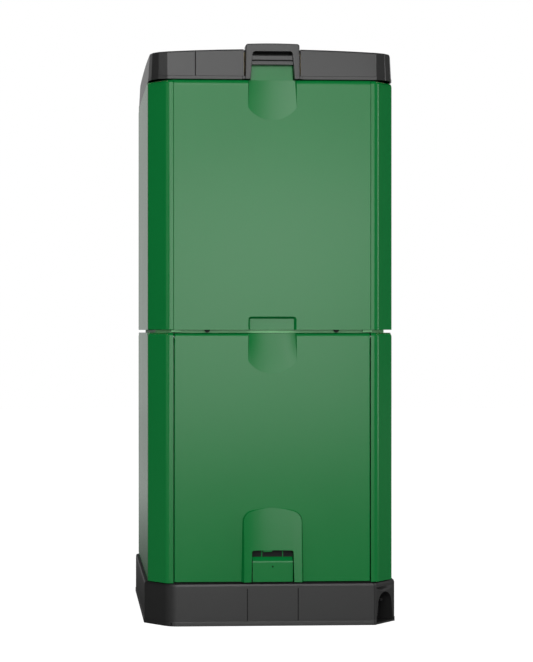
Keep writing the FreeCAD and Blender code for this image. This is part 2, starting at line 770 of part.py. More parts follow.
def make_door():
    z = ("door_bottom", "door_top")
    plate = box("door_plate_block", both("door_half"), face("half", "door_inside"), z)
    edge_z = ("door_axis_z", "door_top + over")
    edge = box("door_edge", both("door_half + over"), ("-half - over", "door_axis_y"), edge_z)
    edge_round = cylinder(
        "door_edge_round", "x", "door_plate / 2", both("door_half + over"), ("door_axis_y", "door_axis_z"))
    square = cut("door_edge_waste", edge, [edge_round])
    inside = ("door_bottom + skin", "door_top - skin")
    space = box("door_space", both("door_half - skin"), face("half - skin", "door_inside - over"), inside)
    foam_front = box(
        "door_foam_front", both("door_half - skin"), face("half - skin", "door_inside"), inside)
    back_depth = face("door_inside + over", "inner + skin")
    foam_back = box("door_foam_back", both("block_half - skin"), back_depth, inside)
    bosses = [
        box("latch_boss", both("latch_half + latch_gap + skin"), face("half", "door_inside"),
            ("door_bottom", "slot_top + skin")),
        scoop_boss("door_scoop_boss", "door_top"),
        box("door_top_boss", both("door_half"), face("half", "door_inside"),
            ("door_top - door_boss", "door_top")),
    ]
    space = cut("door_space_cut", space, bosses)
    latch_space = box(
        "latch_space", both("latch_half + latch_gap"), face("pad_front + over", "half - latch_depth"),
        ("door_bottom - over", "slot_top"))
    rails = [
        box(f"latch_rail_{name}", (f"{at} - rail_width / 2", f"{at} + rail_width / 2"),
            face("half - latch_depth + rail_height", "half - latch_depth - over"),
            ("door_bottom", "slot_top"))
        for name, at in (("left", "-rail_offset"), ("right", "rail_offset"))
    ]
    pin_holes = [
        cylinder(f"door_pin_hole_{name}", "x", "hinge_pin_radius + running_fit", along,
                 ("door_axis_y", "door_axis_z"))
        for name, along in (
            ("left", ("-door_half - over", "-door_half + door_pin_inside")),
            ("right", ("door_half - door_pin_inside", "door_half + over")))
    ]
    shell = cut("door_shell_cut", fuse("door_solid", [plate, pad_form()]),
                [space, square, scoop_form("door_scoop", "door_top"), latch_space] + pin_holes)
    piece("door_shell", fuse("door_shell", [shell] + rails))
    piece("door_foam", cut("door_foam", fuse("door_foam_solid", [foam_front, foam_back]), bosses))

    flange = box("liner_flange", both("door_half"), face("door_inside", "flange_back"), z)
    block = box("liner_block", both("block_half"), face("door_inside", "inner"), z)
    hollow = box("liner_hollow", both("block_half - skin"), back_depth, inside)
    piece("door_liner", cut("door_liner", fuse("liner_solid", [flange, block]), [hollow]))

    seal_z = ("door_bottom + skin", "door_top - door_boss")
    strips = [
        box("seal_left", ("-door_half", "-door_half + seal_width"),
            face("flange_back", "flange_back - seal_thick"), seal_z),
        box("seal_right", ("door_half - seal_width", "door_half"),
            face("flange_back", "flange_back - seal_thick"), seal_z),
    ]
    piece("door_seal", group("door_seal", strips))

    pins = [
        cylinder("door_pin_left", "x", "hinge_pin_radius",
                 ("-post_edge - door_pin_outside", "-door_half + door_pin_inside - pin_end_gap"),
                 ("door_axis_y", "door_axis_z")),
        cylinder("door_pin_right", "x", "hinge_pin_radius",
                 ("door_half - door_pin_inside + pin_end_gap", "post_edge + door_pin_outside"),
                 ("door_axis_y", "door_axis_z")),
    ]
    piece("door_hinge_pins", group("door_hinge_pins", pins))

    tongue = box("latch_tongue", both("latch_half"), face("pad_front - latch_front_inset", "latch_back"),
                 ("door_bottom", "latch_top"))
    ways = [
        box(f"latch_way_{name}",
            (f"{at} - rail_width / 2 - latch_gap", f"{at} + rail_width / 2 + latch_gap"),
            face("half - latch_depth + rail_height + latch_back_gap", "latch_back - over"),
            ("door_bottom - over", "latch_top + over"))
        for name, at in (("left", "-rail_offset"), ("right", "rail_offset"))
    ]
    hole = cylinder("latch_eye", "y", "latch_hole", face("pad_front + over", "latch_back - over"),
                    ("0", "latch_top - latch_hole_drop - latch_hole"))
    piece("door_latch", cut("door_latch", tongue, ways + [hole]))


# Lid

def dome(label, half, cut_size, bottom, inset):
    """Lid form with cut corners under two crossing arches, brought in by an inset."""
    outline = octagon(label + "_outline", half, cut_size, (bottom, "crown_z + over"))
    radius = f"dome_radius - {inset}"
    reach = both("lid_half + over")
    across = cylinder(label + "_arch_y", "y", radius, reach, ("0", "dome_z"))
    along = cylinder(label + "_arch_x", "x", radius, reach, ("0", "dome_z"))
    return common(label, [outline, across, along])


def make_lid():
    """Domed shell with a gap in its front wall for the latch housing."""
    outer = dome("lid_outer", "lid_half", "corner_cut", "lid_z", "0")
    space = dome(
        "lid_space", "lid_half - lid_skin", "corner_cut - lid_skin * mitre", "lid_z - over", "lid_skin")
    housing_space = box(
        "housing_space", both("housing_half"), face("housing_front", "housing_back"),
        ("lid_z - 2 * over", "housing_top"))
    bosses = [
        cylinder(f"lid_boss_{index}", "z", "boss_radius", ("liner_top", "crown_z + over"), spot)
        for index, spot in enumerate(screw_spots())
    ]
    hollow = cut("lid_hollow", space, bosses)
    screw_holes = [
        cylinder(f"lid_screw_hole_{index}", "z", "screw_radius",
                 ("liner_top - over", "lid_z + screw_length"), spot)
        for index, spot in enumerate(screw_spots())
    ]
    axis = ("hinge_y", "hinge_z")
    knuckles = []
    windows = []
    eyes = []
    for name, at in (("left", "-hinge_offset"), ("right", "hinge_offset")):
        windows.append(box(
            f"hinge_window_{name}", (f"{at} - window_half", f"{at} + window_half"),
            ("hinge_y - knuckle_radius - hinge_side_gap", "lid_half + over"),
            ("lid_z - over", "hinge_z + knuckle_radius + hinge_side_gap")))
        for place, along in (
                ("low", (f"{at} - knuckle_end", f"{at} - window_half")),
                ("high", (f"{at} + window_half", f"{at} + knuckle_end"))):
            knuckles.append(cylinder(f"knuckle_{name}_{place}", "x", "knuckle_radius", along, axis))
        eyes.append(cylinder(
            f"knuckle_eye_{name}", "x", "hinge_pin_radius + running_fit",
            (f"{at} - knuckle_end - over", f"{at} + knuckle_end + over"), axis))
    walls = cut("lid_walls", outer, [hollow, housing_space] + windows)
    whole = fuse("lid_whole", [walls] + knuckles)
    piece("lid_shell", cut("lid_shell", whole, eyes + screw_holes))
    make_housing()
    make_lid_inside(bosses, housing_space)
    make_lid_latch()
    pins = [
        cylinder(f"lid_hinge_pin_{name}", "x", "hinge_pin_radius",
                 (f"{at} - knuckle_end", f"{at} + knuckle_end"), axis)
        for name, at in (("left", "-hinge_offset"), ("right", "hinge_offset"))
    ]
    piece("lid_hinge_pins", group("lid_hinge_pins", pins))


def make_housing():
    """Frame in the lid's front wall, open at its foot, that the latch hangs in."""
    block = box("housing_block", both("housing_half"), face("housing_front", "housing_back"),
                ("lid_z", "housing_top"))
    recess = wedge(
        "latch_recess", ("lid_z - over", "recess_top"),
        (both("recess_bottom_width / 2"), face("housing_front + over", "recess_back")),
        (both("recess_top_width / 2"), face("housing_front + over", "recess_back")))
    pin_hole = cylinder(
        "lid_pin_hole", "x", "lid_pin_radius", both("recess_top_width / 2 + lid_pin_seat"),
        ("lid_pin_y", "lid_pin_z"))
    piece("lid_latch_housing", cut("lid_latch_housing", block, [recess, pin_hole]))


def screw_spots():
    return [(f"{x}screw_at", f"{y}screw_at") for x in ("-", "") for y in ("-", "")]


def make_lid_inside(bosses, housing_space):
    """Foam, liner plate, screws and seal under the lid."""
    cut_size = "corner_cut - liner_inset * mitre"
    foam = dome("lid_foam_form", "liner_half", cut_size, "liner_top", "lid_skin")
    piece("lid_foam", cut("lid_foam", foam, [housing_space] + bosses))
    plate = octagon("lid_liner_plate", "liner_half", cut_size, ("lid_z", "liner_top"))
    holes = [
        cylinder(f"liner_hole_{index}", "z", "screw_radius + tap_fit",
                 ("lid_z - over", "liner_top + over"), spot)
        for index, spot in enumerate(screw_spots())
    ]
    piece("lid_liner", cut("lid_liner", plate, [housing_space] + holes))
    screws = []
    for index, spot in enumerate(screw_spots()):
        shank = cylinder(
            f"screw_shank_{index}", "z", "screw_radius", ("lid_z - over", "lid_z + screw_length"), spot)
        head = cylinder(
            f"screw_head_{index}", "z", "screw_head", ("lid_z - screw_head_thick", "lid_z"), spot)
        screws.append(fuse(f"lid_screw_{index}", [shank, head]))
    piece("lid_screws", group("lid_screws", screws))
    seal_z = ("upper_top + rest_gap", "lid_z")
    seal_cut = "corner_cut - lid_seal_inset * mitre"
    seal_out = octagon("lid_seal_out", "lid_seal_half", seal_cut, seal_z)
    seal_in = octagon(
        "lid_seal_in", "lid_seal_half - lid_seal_width", f"{seal_cut} - lid_seal_width * mitre",
        ("upper_top + rest_gap - over", "lid_z + over"))
    piece("lid_seal", cut("lid_seal", seal_out, [seal_in]))


def make_lid_latch():
    """Lever that pulls outwards at its foot, on a pin across the housing."""
    body = box("lid_lever_block", both("lever_half"), face("lever_front", "lever_front - lid_lever_thick"),
               ("lever_top - lid_lever_height", "lever_top"))
    eye = cylinder("lid_lever_eye", "x", "lid_pin_radius + running_fit", both("lever_half + over"),
                   ("lid_pin_y", "lid_pin_z"))
    line = "lever_top - lid_lever_height / 2"
    groove = box(
        "lid_lever_groove", both("lever_half + over"),
        face("lever_front + over", "lever_front - lever_groove"),
        (f"{line} - lever_groove / 2", f"{line} + lever_groove / 2"))
    piece("lid_latch", cut("lid_latch", body, [eye, groove]))
    piece("lid_latch_pin", cylinder(
        "lid_latch_pin", "x", "lid_pin_radius", both("recess_top_width / 2 + lid_pin_seat"),
        ("lid_pin_y", "lid_pin_z")))


# Assembly

make_base()
make_tank()
make_grate()
make_tap()
make_core()
for tier in TIERS:
    cores = [make_post(tier, corner, angle) for corner, angle in CORNERS.items()]
    piece(f"{tier}_post_foam", group(f"{tier}_post_foam", cores))
    for side, angle in SIDES.items():
        if (tier, side) != ("lower", "front"):
            make_panel(tier, side, angle)
make_ring()
make_door()
make_lid()
doc.recompute()

failed = [item.Label for item in doc.Objects if "Invalid" in item.State or "Error" in item.State]
if failed:
    raise RuntimeError("objects that failed: " + ", ".join(failed))
for label, item in pieces.items():
    if item.Shape.isNull() or not item.Shape.isValid() or not item.Shape.Solids:
        raise RuntimeError("no sound solid in " + label)

os.makedirs("parts", exist_ok=True)
for label, item in pieces.items():
    item.Shape.exportStep(f"parts/{label}.step")
print(len(pieces), "pieces written")
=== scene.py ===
import json
import math

import bmesh
import bpy
from bpy.props import FloatProperty, FloatVectorProperty, PointerProperty
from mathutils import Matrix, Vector


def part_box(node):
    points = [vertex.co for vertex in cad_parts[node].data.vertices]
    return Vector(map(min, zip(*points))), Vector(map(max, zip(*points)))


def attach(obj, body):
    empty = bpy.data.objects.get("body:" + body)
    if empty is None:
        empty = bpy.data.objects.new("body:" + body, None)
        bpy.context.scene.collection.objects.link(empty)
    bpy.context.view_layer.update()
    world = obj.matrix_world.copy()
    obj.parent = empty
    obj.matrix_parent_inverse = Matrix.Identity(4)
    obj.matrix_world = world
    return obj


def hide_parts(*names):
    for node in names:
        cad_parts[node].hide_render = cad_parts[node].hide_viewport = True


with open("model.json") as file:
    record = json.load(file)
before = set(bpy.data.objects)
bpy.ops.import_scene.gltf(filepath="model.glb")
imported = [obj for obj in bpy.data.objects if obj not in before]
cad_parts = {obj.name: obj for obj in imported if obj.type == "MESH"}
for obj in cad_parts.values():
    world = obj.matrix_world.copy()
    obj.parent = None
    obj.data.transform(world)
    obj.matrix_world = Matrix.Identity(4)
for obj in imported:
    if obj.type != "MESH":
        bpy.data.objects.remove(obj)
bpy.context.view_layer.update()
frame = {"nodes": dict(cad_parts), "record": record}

bl_info = {
    "name": "Compost bin",
    "version": (1, 0, 0),
    "blender": (4, 5, 0),
    "location": "View3D > Sidebar > Compost bin",
    "description": "Moulded pieces, finishes and studio of an insulated garden compost bin",
    "category": "Object",
}

MM = 0.001
WELD = 0.00001

# Distances in millimetres by which places may miss each other and still count as one

TOUCH = 0.01
NEAR = 0.1

# Angles between faces, in radians

SHARP_ANGLE = math.radians(32)
DECK_SHARP_ANGLE = math.radians(12)
FLAT_ANGLE = math.radians(0.5)
CLEAR_TURN = 0.4
CRISP_TURN = 0.6
STRONG_TURN = 0.9

# Shares of a normal or an edge along a direction, which tell where it points

ALIGNED = 0.999
UPRIGHT = 0.98
LEVEL = 0.95
FACING = 0.9
ASLANT = 0.7
STEEP = 0.6
OUTWARD = 0.55
HALFWAY = 0.5
LEANING = 0.3
SLIGHT = 0.1
TILTED = 0.05

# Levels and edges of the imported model, in millimetres

def node_box(node):
    """Lowest and highest corner of a node."""
    low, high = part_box(node)
    return low / MM, high / MM


POST_HIGH = node_box("upper_post_front_right")[1]
HALF, UPPER_TOP = POST_HIGH.x, POST_HIGH.z
FRONT = -HALF
PANEL_LOW, PANEL_HIGH = node_box("upper_panel_front")
DOOR_LOW, DOOR_HIGH = node_box("door_shell")
LATCH_HIGH = node_box("door_latch")[1]
LID_HIGH = node_box("lid_shell")[1]
HOUSING_LOW, HOUSING_HIGH = node_box("lid_latch_housing")
BASE_LOW, BASE_HIGH = node_box("base_tray")


# Mesh tools

BLOCK_STEPS = 2


class Shape:
    """Mesh under construction, with its points in millimetres."""

    def __init__(self):
        self.mesh = bmesh.new()
        self.points = {}

    def point(self, x, y, z):
        """The one vertex at a place."""
        key = (round(x, 3), round(y, 3), round(z, 3))
        if key not in self.points:
            self.points[key] = self.mesh.verts.new((x * MM, y * MM, z * MM))
        return self.points[key]

    def face(self, corners):
        """Face over corners, without repeated ones."""
        verts = []
        for corner in corners:
            vert = self.point(*corner)
            if vert not in verts:
                verts.append(vert)
        if len(verts) > 2 and self.mesh.faces.get(verts) is None:
            self.mesh.faces.new(verts)

    def strip(self, rows, closed=False):
        """Four-sided faces between neighbouring rows of points."""
        for low, high in zip(rows, rows[1:]):
            count = len(low)
            for index in range(count if closed else count - 1):
                after = (index + 1) % count
                self.face([low[index], low[after], high[after], high[index]])

    def fill(self, *loops):
        """Flat face inside the first loop, with the other loops as holes."""
        edges = []
        for loop in loops:
            verts = [self.point(*place) for place in loop]
            for start, end in zip(verts, verts[1:] + verts[:1]):
                if start is end:
                    continue
                edge = self.mesh.edges.get((start, end)) or self.mesh.edges.new((start, end))
                if edge not in edges:
                    edges.append(edge)
        bmesh.ops.triangle_fill(self.mesh, use_beauty=True, use_dissolve=False, edges=edges)

    def crease(self, places):
        """Keep the edges along a line of places crisp."""
        verts = [self.point(*place) for place in places]
        for start, end in zip(verts, verts[1:]):
            edge = self.mesh.edges.get((start, end))
            if edge:
                edge.smooth = False

    def close(self):
        """Point all faces outwards and give the mesh."""
        bmesh.ops.recalc_face_normals(self.mesh, faces=self.mesh.faces)
        return self.mesh


def joined(main, *others):
    """Add other meshes to the first."""
    for other in others:
        spare = bpy.data.meshes.new("spare")
        other.to_mesh(spare)
        other.free()
        main.from_mesh(spare)
        bpy.data.meshes.remove(spare)
    return main


def soft_block(low, high, radius, top=None):
    """Block with round edges; top gives the half width of a tapered top."""
    mesh = bmesh.new()
    corners = {}
    for level, z in ((0, low[2]), (1, high[2])):
        for side, x in ((0, low[0]), (1, high[0])):
            for depth, y in ((0, low[1]), (1, high[1])):
                if level and top:
                    x = (-top, top)[side]
                corners[level, side, depth] = mesh.verts.new((x * MM, y * MM, z * MM))
    around = ((0, 0), (1, 0), (1, 1), (0, 1))
    for level in (0, 1):
        mesh.faces.new([corners[level, *place] for place in around])
    for start, end in zip(around, around[1:] + around[:1]):
        mesh.faces.new([corners[0, *start], corners[0, *end], corners[1, *end], corners[1, *start]])
    bmesh.ops.recalc_face_normals(mesh, faces=mesh.faces)
    round_edges(mesh, list(mesh.edges), radius, BLOCK_STEPS)
    return mesh


def round_edges(mesh, edges, radius, steps):
    """Round edges off by a radius in millimetres."""
    if edges:
        bmesh.ops.bevel(
            mesh, geom=edges, offset=radius * MM, offset_type="OFFSET", segments=steps, profile=0.5,
            affect="EDGES", clamp_overlap=True)


def node_copy(node):
    """Welded copy of a node's mesh with its flat faces whole."""
    mesh = bmesh.new()
    mesh.from_mesh(frame["nodes"][node].data)
    bmesh.ops.remove_doubles(mesh, verts=mesh.verts, dist=WELD)
    bmesh.ops.dissolve_limit(mesh, angle_limit=FLAT_ANGLE, verts=mesh.verts, edges=mesh.edges)
    mesh.normal_update()
    return mesh


def softened(node, *rounds):
    """Copy of a node with chosen edges rounded; each round is a test, a radius and a number of steps."""
    mesh = node_copy(node)
    for test, radius, steps in rounds:
        edges = [edge for edge in mesh.edges if len(edge.link_faces) == 2 and edge.is_convex and test(edge)]
        round_edges(mesh, edges, radius, steps)
        mesh.normal_update()
    bmesh.ops.dissolve_degenerate(mesh, dist=WELD, edges=mesh.edges)
    mesh.normal_update()
    return mesh


def ends(edge):
    """Both ends of an edge, in millimetres."""
    return [vert.co / MM for vert in edge.verts]


def upright(edge):
    """Whether an edge stands upright."""
    start, end = ends(edge)
    return abs(start.z - end.z) > UPRIGHT * (start - end).length


def outward_share(face):
    """Share of a face's normal that points away from the middle axis."""
    spot = face.calc_center_median()
    return face.normal.dot(Vector((spot.x, spot.y, 0)).normalized())


def faces_out(face):
    """Whether an upright face looks away from the middle axis."""
    return abs(face.normal.z) < LEANING and outward_share(face) > OUTWARD


def outer_corner(edge):
    """Upright edge between two outward faces."""
    outward = all(faces_out(face) for face in edge.link_faces)
    return upright(edge) and outward and edge.calc_face_angle(0) > CLEAR_TURN


def front_corner(edge):
    """Outer corner beside a front or rear face."""
    return outer_corner(edge) and any(abs(face.normal.y) > FACING for face in edge.link_faces)


def base_corner(edge):
    """Corner of the base between its front and its left facet."""
    return front_corner(edge) and all(place.x < 0 and place.y < 0 for place in ends(edge))


def outer_rim(up):
    """Test for the edge between an outward face and the top or bottom face."""
    def test(edge):
        flat = [face for face in edge.link_faces if face.normal.z * up > LEVEL]
        return bool(flat) and any(faces_out(face) for face in edge.link_faces)
    return test


def outer_side(edge):
    """Edge between an outward face and a side face, such as beside a gap."""
    outward = [face for face in edge.link_faces if faces_out(face) or rounded_top(face)]
    side = [face for face in edge.link_faces if abs(face.normal.z) < SLIGHT and not faces_out(face)]
    return bool(outward) and bool(side) and edge.calc_face_angle(0) > STRONG_TURN


def rounded_top(face):
    """Whether a face belongs to a rounded upper edge."""
    return TILTED < face.normal.z < LEVEL and outward_share(face) > TILTED


def any_crisp(edge):
    """Any edge with a clear corner."""
    return edge.calc_face_angle(0) > CRISP_TURN


def add_piece(name, mesh, body, slot, nodes, sharp=SHARP_ANGLE):
    """Object of a finished mesh, riding on a body in place of its nodes."""
    for face in mesh.faces:
        face.smooth = True
    for edge in mesh.edges:
        if len(edge.link_faces) != 2 or edge.calc_face_angle(0) > sharp:
            edge.smooth = False
    data = bpy.data.meshes.new(name)
    mesh.to_mesh(data)
    mesh.free()
    data.materials.append(finish(slot))
    item = bpy.data.objects.new(name, data)
    bpy.context.scene.collection.objects.link(item)
    shading = item.modifiers.new("Even shading", "WEIGHTED_NORMAL")
    shading.keep_sharp = True
    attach(item, body)
    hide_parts(*nodes)
    return item


def arc(count):
    """Angles of a quarter turn."""
    return [math.pi / 2 * step / count for step in range(count + 1)]


def circle(centre, radius, steps):
    """Pairs of places round a centre."""
    turns = [2 * math.pi * step / steps for step in range(steps)]
    return [(centre[0] + radius * math.cos(turn), centre[1] + radius * math.sin(turn)) for turn in turns]


def rectangle(half, low, high):
    """Corners (x, z) of an upright rectangle."""
    return [(-half, low), (half, low), (half, high), (-half, high)]


def between(start, end, share):
    """Value at a share of the way from start to end."""
    return start + (end - start) * share


def sided(places, sign):
    """Places as they are, or on the other side for a sign of -1."""
    return [(sign * x, y, z) for x, y, z in places]


def mirrored(places):
    """Places on the other side, in reverse order."""
    return sided(reversed(places), -1)


# Front panels

SKIN = 2.2
SCOOP = {"half": 50.0, "height": 82.5, "arc": 26.0, "depth": 10.0, "draft": 0.42}
DOOR_SCOOP = {"depth": 8.5, "hollow": 3.5}
SCOOP_COLUMNS = 28
SCOOP_ROWS = 5
BESIDE = 72.0
SIDE_STEPS = 3
EDGE_STEPS = 5


class FrontSheet:
    """Front of a panel: its levels, the rounding of its edges and its finger scoop."""

    def __init__(self, half, low, high, back, side_round, top_tall, top_deep, depth, hollow=0.0):
        self.half = half
        self.low = low
        self.high = high
        self.back = back
        self.side_round = side_round
        self.top_tall = top_tall
        self.top_deep = top_deep
        self.depth = depth
        self.hollow = hollow
        self.flat_half = half - side_round
        self.bend = high - top_tall
        self.rise = [(math.cos(turn), math.sin(turn)) for turn in arc(EDGE_STEPS)]

    def top_curve(self, inset=0.0):
        """Depth and level along the rounded upper edge, from the flat front to the top."""
        deep = self.top_deep - inset
        tall = self.top_tall - inset
        return [(FRONT + self.top_deep - deep * across, self.bend + tall * up) for across, up in self.rise]

    def row(self, x, inset=0.0):
        """Section from the back of the foot over the front to the back of the top."""
        section = [(self.back, self.low + inset), (FRONT + inset, self.low + inset)]
        section += self.top_curve(inset) + [(self.back, self.high - inset)]
        return [(x, y, z) for y, z in section]

    def side_rows(self):
        """Sections round the right edge, from the flat front to the end face."""
        rows = []
        for turn in arc(SIDE_STEPS):
            x = self.flat_half + self.side_round * math.sin(turn)
            rows.append(self.row(x, self.side_round * (1 - math.cos(turn))))
        return rows

    def scoop_foot(self, x):
        """Level at which the scoop starts."""
        radius = (SCOOP["half"] ** 2 + SCOOP["arc"] ** 2) / (2 * SCOOP["arc"])
        return self.high - SCOOP["height"] + radius - math.sqrt(radius ** 2 - x ** 2)

    def scoop_point(self, across, share):
        """Point of the hollow, from -1 to 1 across and at a share of the way from its foot to the top."""
        half = SCOOP["half"]
        slope = self.depth / SCOOP["height"]
        foot = self.scoop_foot(across * half)
        rise = share * (self.high - foot)
        narrow = SCOOP["draft"] * slope * share * (self.high - self.scoop_foot(half))
        hollow = self.hollow * (1 - across ** 2) * share * (2 - share)
        return (across * (half - narrow), FRONT + slope * rise + hollow, foot + rise)

    def make_scoop(self, shape):
        """Hollow with its drafted sides; gives its outline on the front and its edge at the top."""
        half = SCOOP["half"]
        corner = self.scoop_foot(half)
        levels = [corner + (self.bend - corner) * step / SCOOP_ROWS for step in range(SCOOP_ROWS)]
        outer = [(half, FRONT, level) for level in levels]
        outer += [(half, y, z) for y, z in self.top_curve()]
        shares = [(level - corner) / (self.high - corner) for _, _, level in outer]
        columns = [2 * step / SCOOP_COLUMNS - 1 for step in range(SCOOP_COLUMNS + 1)]
        shape.strip([[self.scoop_point(across, share) for across in columns] for share in shares])
        inner = [self.scoop_point(1, share) for share in shares]
        for sign in (-1, 1):
            wall = [sided(line, sign) for line in (inner, outer)]
            shape.strip(wall)
            for line in wall:
                shape.crease(line)
        foot_line = [self.scoop_point(across, 0) for across in columns]
        shape.crease(foot_line)
        right = outer[1:SCOOP_ROWS + 1]
        top_edge = [self.scoop_point(across, 1) for across in columns]
        return mirrored(right) + foot_line + right, sided(outer[-1:], -1) + top_edge + outer[-1:]

    def make_sides(self, shape):
        """Plain stretches of the front beside the middle, and the rounded side edges."""
        for sign in (-1, 1):
            shape.strip([sided(row, sign) for row in self.side_rows()])
            flats = [SCOOP["half"], BESIDE, self.flat_half]
            shape.strip([[(sign * x, y, z) for y, z in self.top_curve()] for x in flats])
            shape.face([
                (sign * BESIDE, FRONT, self.low), (sign * self.flat_half, FRONT, self.low),
                (sign * self.flat_half, FRONT, self.bend), (sign * BESIDE, FRONT, self.bend)])

    def make_middle(self, shape, foot_line, scoop_line):
        """Middle of the front, between the line along its foot and the scoop."""
        shape.fill(
            [(-BESIDE, FRONT, self.low)] + foot_line + [(BESIDE, FRONT, self.low), (BESIDE, FRONT, self.bend)]
            + scoop_line[::-1] + [(-BESIDE, FRONT, self.bend)])

    def end_loops(self, top_edge, foot_edge):
        """Level and loop of the top and of the foot, from the left of the back round the front."""
        loops = []
        for y, level, line in ((FRONT + self.top_deep, self.high, top_edge), (FRONT, self.low, foot_edge)):
            left = [(-self.flat_half, self.back, level), (-self.flat_half, y, level), (-BESIDE, y, level)]
            loops.append((level, left + line + mirrored(left)))
        return loops

    def side_outline(self):
        """Line round the back of the right edge, from its foot to its top."""
        rows = self.side_rows()
        return [row[0] for row in rows] + [row[-1] for row in reversed(rows)]


def cavity(shape, outline, back, front, bites):
    """Hollow from a back plane to a front plane, with blocks left standing on its front face.

    The outline is a loop of (x, z). Each bite is a half width, a lower and an upper level and a depth, and
    touches the outline's top or bottom side between two of its corners.
    """
    count = len(outline)
    front_loop = []
    for index in range(count):
        start, end = outline[index], outline[(index + 1) % count]
        front_loop.append((start[0], front, start[1]))
        wall = [(start[0], back, start[1]), (end[0], back, end[1]), (end[0], front, end[1])]
        for half, low, high, depth in bites:
            level = high if abs(start[1] - high) < TOUCH else low
            far = low if level == high else high
            flat = abs(start[1] - end[1]) < TOUCH and abs(start[1] - level) < TOUCH
            if not flat or min(start[0], end[0]) > -half or max(start[0], end[0]) < half:
                continue
            away = math.copysign(half, end[0] - start[0])
            near = -away
            wall += [(away, front, level), (away, depth, level), (near, depth, level), (near, front, level)]
            front_loop += [(near, front, level), (near, front, far), (away, front, far), (away, front, level)]
            shape.face([(x, depth, z) for x, z in rectangle(half, low, high)])
            for x in (-half, half):
                shape.face([(x, front, low), (x, depth, low), (x, depth, high), (x, front, high)])
            shape.face([(-half, front, far), (half, front, far), (half, depth, far), (-half, depth, far)])
        wall.append((start[0], front, start[1]))
        shape.fill(wall)
    shape.fill(front_loop)
    return [(x, back, z) for x, z in outline]


NOTCH = {"half": 49.5, "height": 27.0, "depth": 8.5, "sag": 1.2, "draft": 4.5, "corner": 6.0}
NOTCH_COLUMNS = 12


def make_notch(shape, sheet):
    """Drafted notch in the foot of the upper panel; gives its outline and its edge at the foot."""
    half, corner, draft = NOTCH["half"], NOTCH["corner"], NOTCH["draft"]
    top = sheet.low + NOTCH["height"]
    inner_corner = corner - draft
    outer = [(-half, sheet.low)]
    inner = [(-half + draft, sheet.low)]
    for turn in arc(4):
        across, up = math.cos(turn), math.sin(turn)
        outer.append((-half + corner - corner * across, top - corner + corner * up))
        inner.append((-half + corner - inner_corner * across, top - corner + inner_corner * up))
    left_count = len(outer)
    for step in range(1, NOTCH_COLUMNS):
        x = (half - corner) * (2 * step / NOTCH_COLUMNS - 1)
        outer.append((x, top))
        inner.append((x, top - draft))
    for line in (outer, inner):
        line += [(-x, z) for x, z in reversed(line[:left_count])]
    floor_half = half - draft

    def floor(x):
        return FRONT + NOTCH["depth"] - NOTCH["sag"] * (x / floor_half) ** 2

    rim = [(x, FRONT, z) for x, z in outer]
    bed = [(x, floor(x), z) for x, z in inner]
    foot = [(x, floor(x), sheet.low) for x, _ in inner[1:-1]]
    shape.strip([rim, bed])
    shape.strip([bed[1:-1], foot])
    shape.crease(rim)
    shape.crease(bed)
    return rim, [rim[0]] + foot + [rim[-1]]


UPPER = {"reveal": 6.0, "depth": 38.0, "tongue": 9.0, "tongue_front": 14.0, "tongue_back": 24.0, "rib": 1.5}
KEEPER = {"half": 44.2, "top_half": 42.0, "behind": 0.3, "thick": 6.0, "sunk": 1.5, "rise": 5.5, "edge": 0.8}


def make_upper_panel(sizes):
    """Upper front panel with its scoop, its notch and the keeper tab behind the scoop."""
    body_half = PANEL_HIGH.x - UPPER["tongue"]
    face_half = body_half - sizes.upper_gap / MM
    inner = FRONT + UPPER["depth"]
    sheet = FrontSheet(
        face_half, PANEL_LOW.z, UPPER_TOP, FRONT + UPPER["reveal"], sizes.gap_edge / MM,
        sizes.tier_edge_height / MM, sizes.tier_edge_depth / MM, SCOOP["depth"])
    shape = Shape()
    outline, top_edge = sheet.make_scoop(shape)
    rim, foot_edge = make_notch(shape, sheet)
    sheet.make_sides(shape)
    sheet.make_middle(shape, rim, outline)
    tongue_front, tongue_back = FRONT + UPPER["tongue_front"], FRONT + UPPER["tongue_back"]
    side = [
        (body_half, sheet.back), (body_half, tongue_front), (PANEL_HIGH.x, tongue_front),
        (PANEL_HIGH.x, tongue_back), (body_half, tongue_back), (body_half, inner)]
    other_side = [(-x, y) for x, y in side]
    for level, loop in sheet.end_loops(top_edge, foot_edge):
        shape.fill(loop + [(x, y, level) for x, y in side + other_side[::-1]])
    for line in (side, other_side):
        shape.strip([[(x, y, level) for x, y in line] for level in (sheet.low, sheet.high)])
    step = sheet.side_outline() + [(body_half, sheet.back, sheet.high), (body_half, sheet.back, sheet.low)]
    for sign in (-1, 1):
        shape.fill(sided(sheet.side_rows()[-1], sign))
        shape.fill(sided(step, sign))
    hole = rectangle(body_half - UPPER["rib"] - SKIN, sheet.low + SKIN, sheet.high - SKIN)
    boss = SCOOP["half"] + SKIN
    bites = [
        (boss, sheet.high - SCOOP["height"] - SKIN, sheet.high - SKIN, FRONT + SCOOP["depth"] + SKIN),
        (boss, sheet.low + SKIN, sheet.low + NOTCH["height"] + SKIN, FRONT + NOTCH["depth"] + SKIN)]
    hole_loop = cavity(shape, hole, inner, FRONT + SKIN, bites)
    shape.fill([(x, inner, z) for x, z in rectangle(body_half, sheet.low, sheet.high)], hole_loop)
    tab_front = FRONT + SCOOP["depth"] + KEEPER["behind"]
    tab = soft_block(
        (-KEEPER["half"], tab_front, sheet.high - KEEPER["sunk"]),
        (KEEPER["half"], tab_front + KEEPER["thick"], PANEL_HIGH.z + KEEPER["rise"]),
        KEEPER["edge"], top=KEEPER["top_half"])
    return joined(shape.close(), tab)


